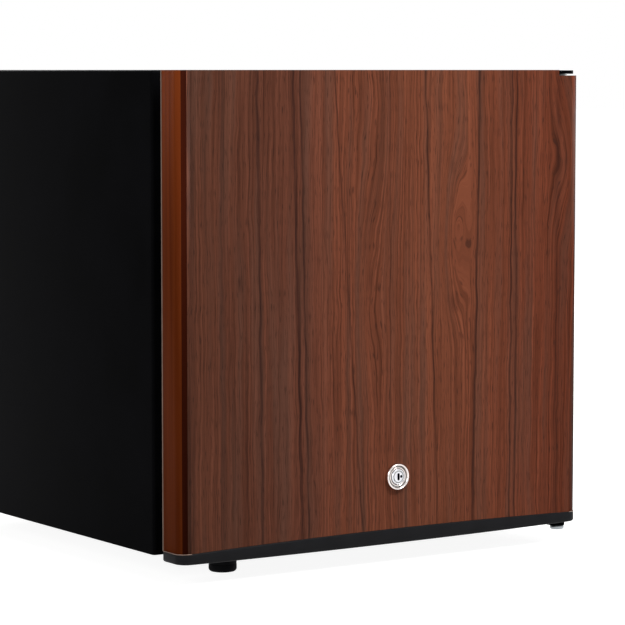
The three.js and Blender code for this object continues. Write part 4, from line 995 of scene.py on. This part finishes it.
low, high = span("power_inlet")
wide, tall, long = fittingSet["blade"]
bm = bmesh.new()
for x, z in fittingSet["bladePlaces"]:
    x, z, y = x + (low.x + high.x) / 2, z + (low.z + high.z) / 2, low.y + fittingSet["recessFloor"]
    addBlock(bm, (x - wide / 2, y, z - tall / 2), (x + wide / 2, y + long, z + tall / 2))
newPiece("inlet_blades", bm, "zinc_plated_steel", "cabinet", bevel=0.4)

bm = bmesh.new()
strapLow, strapHigh = span("unit_strap_right")
caseLow, caseHigh = span("boiler_case")
strapX, caseX = (strapLow.x + strapHigh.x) / 2, (caseLow.x + caseHigh.x) / 2
bolts = [(x, strapHigh.y, z) for x in (-strapX, strapX) for z in fittingSet["strapScrews"]]
fromFoot, fromTop = fittingSet["caseScrews"]
bolts += [(caseX, caseHigh.y, z) for z in (caseLow.z + fromFoot, caseHigh.z - fromTop)]
for x, y, z in bolts:
    turnedMesh(bm, [(radius, y + rise) for radius, rise in fittingSet["bolt"]], (x, 0, z), "y", 24)
newPiece("unit_screws", bm, "zinc_plated_steel", "cabinet", sharp=40)

# saddle clips hold the coil's runs to the strap
bm = bmesh.new()
outer, gauge, ear = (fittingSet[key] for key in ("clipRadius", "clipGauge", "clipEar"))
coilY, seat = unitSet["coilPath"][1][1], strapHigh.y + 0.05
arc = [math.pi / 2 - math.pi * i / 14 for i in range(15)]
for z in fittingSet["clipHeights"]:
    inner = outer - gauge
    over = [(coilY + outer * math.cos(a), z + outer * math.sin(a)) for a in arc]
    under = [(coilY + inner * math.cos(a), z + inner * math.sin(a)) for a in reversed(arc)]
    section = [(seat, z + outer + ear), (seat + gauge, z + outer + ear), (seat + gauge, z + outer), *over,
               (seat + gauge, z - outer), (seat + gauge, z - outer - ear), (seat, z - outer - ear),
               (seat, z - outer + gauge), *under, (seat, z + outer - gauge)]
    halfClip = fittingSet["clipWidth"] / 2
    skinLoops(bm, [[(x, y, z) for y, z in section] for x in (strapX - halfClip, strapX + halfClip)])
newPiece("coil_clips", bm, "zinc_plated_steel", "cabinet", sharp=30)


def roundBox(low, high, grow, corner, steps=6):
    points = []
    for k, (sx, sy) in enumerate(((1, 1), (-1, 1), (-1, -1), (1, -1))):
        x = high.x + grow - corner if sx > 0 else low.x - grow + corner
        y = high.y + grow - corner if sy > 0 else low.y - grow + corner
        for i in range(steps + 1):
            angle = math.pi / 2 * (k + i / steps)
            points.append((x + corner * math.cos(angle), y + corner * math.sin(angle)))
    return points


# folded lid over the boiler case, with the vapour pipe's hole
bm = bmesh.new()
lid, lip, corner = fittingSet["lid"], fittingSet["lidLip"], fittingSet["lidCorner"]
lidGap = fittingSet["lidGap"]
pipeX, pipeY = unitSet["vapourPath"][0][:2]
rings = [addLoop(bm, [(x, y, caseHigh.z + rise) for x, y in roundBox(caseLow, caseHigh, grow, corner + grow)])
         for grow, rise in ((lidGap, -lip), (lid, -lip), (lid, lid - 0.5), (lid - 0.5, lid))]
for lower, upper in zip(rings, rings[1:]):
    bridge(bm, lower, upper)
innerPlan = roundBox(caseLow, caseHigh, lidGap, corner + lidGap)
inner = addLoop(bm, [(x, y, caseHigh.z + 0.1) for x, y in innerPlan])
bridge(bm, rings[0], inner)
holes = [addLoop(bm, [(x, y, caseHigh.z + rise) for x, y in circle(pipeX, pipeY, fittingSet["lidHole"], 28)])
         for rise in (0.1, lid)]
bridge(bm, *holes)
fillFlat(bm, [rings[-1], holes[1]])
fillFlat(bm, [inner, holes[0]])
newPiece("boiler_lid", bm, "galvanised_sheet", "cabinet", sharp=30)

low, high = span("absorber_vessel")
profile = [(radius, high.x - fittingSet["stubSink"] + out) for radius, out in fittingSet["stub"]]
bm = turnedMesh(bmesh.new(), profile, (0, (low.y + high.y) / 2, (low.z + high.z) / 2), "x", 20)
newPiece("filling_stub", bm, "unit_black_paint", "cabinet", sharp=40)

# raised ticks round the dial
bm = bmesh.new()
near, far, wide, proud = fittingSet["tick"]
plate = span("control_box")[0].y
for i in range(fittingSet["tickCount"]):
    tick = addBlock(bm, (knobX - wide / 2, plate - proud, knobZ + near),
                    (knobX + wide / 2, plate + 0.05, knobZ + far))
    turn = math.radians(fittingSet["tickTurn"]) * i / (fittingSet["tickCount"] - 1)
    bmesh.ops.rotate(bm, verts=tick, cent=Vector((knobX, plate, knobZ)) * mm,
                     matrix=Matrix.Rotation(turn, 3, "Y"))
newPiece("dial_ticks", bm, "black_abs", "cabinet", bevel=0.08, segments=1)
print("fittings made")

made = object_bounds()
print("visual box:", [[round(c / mm, 1) for c in v] for v in made])
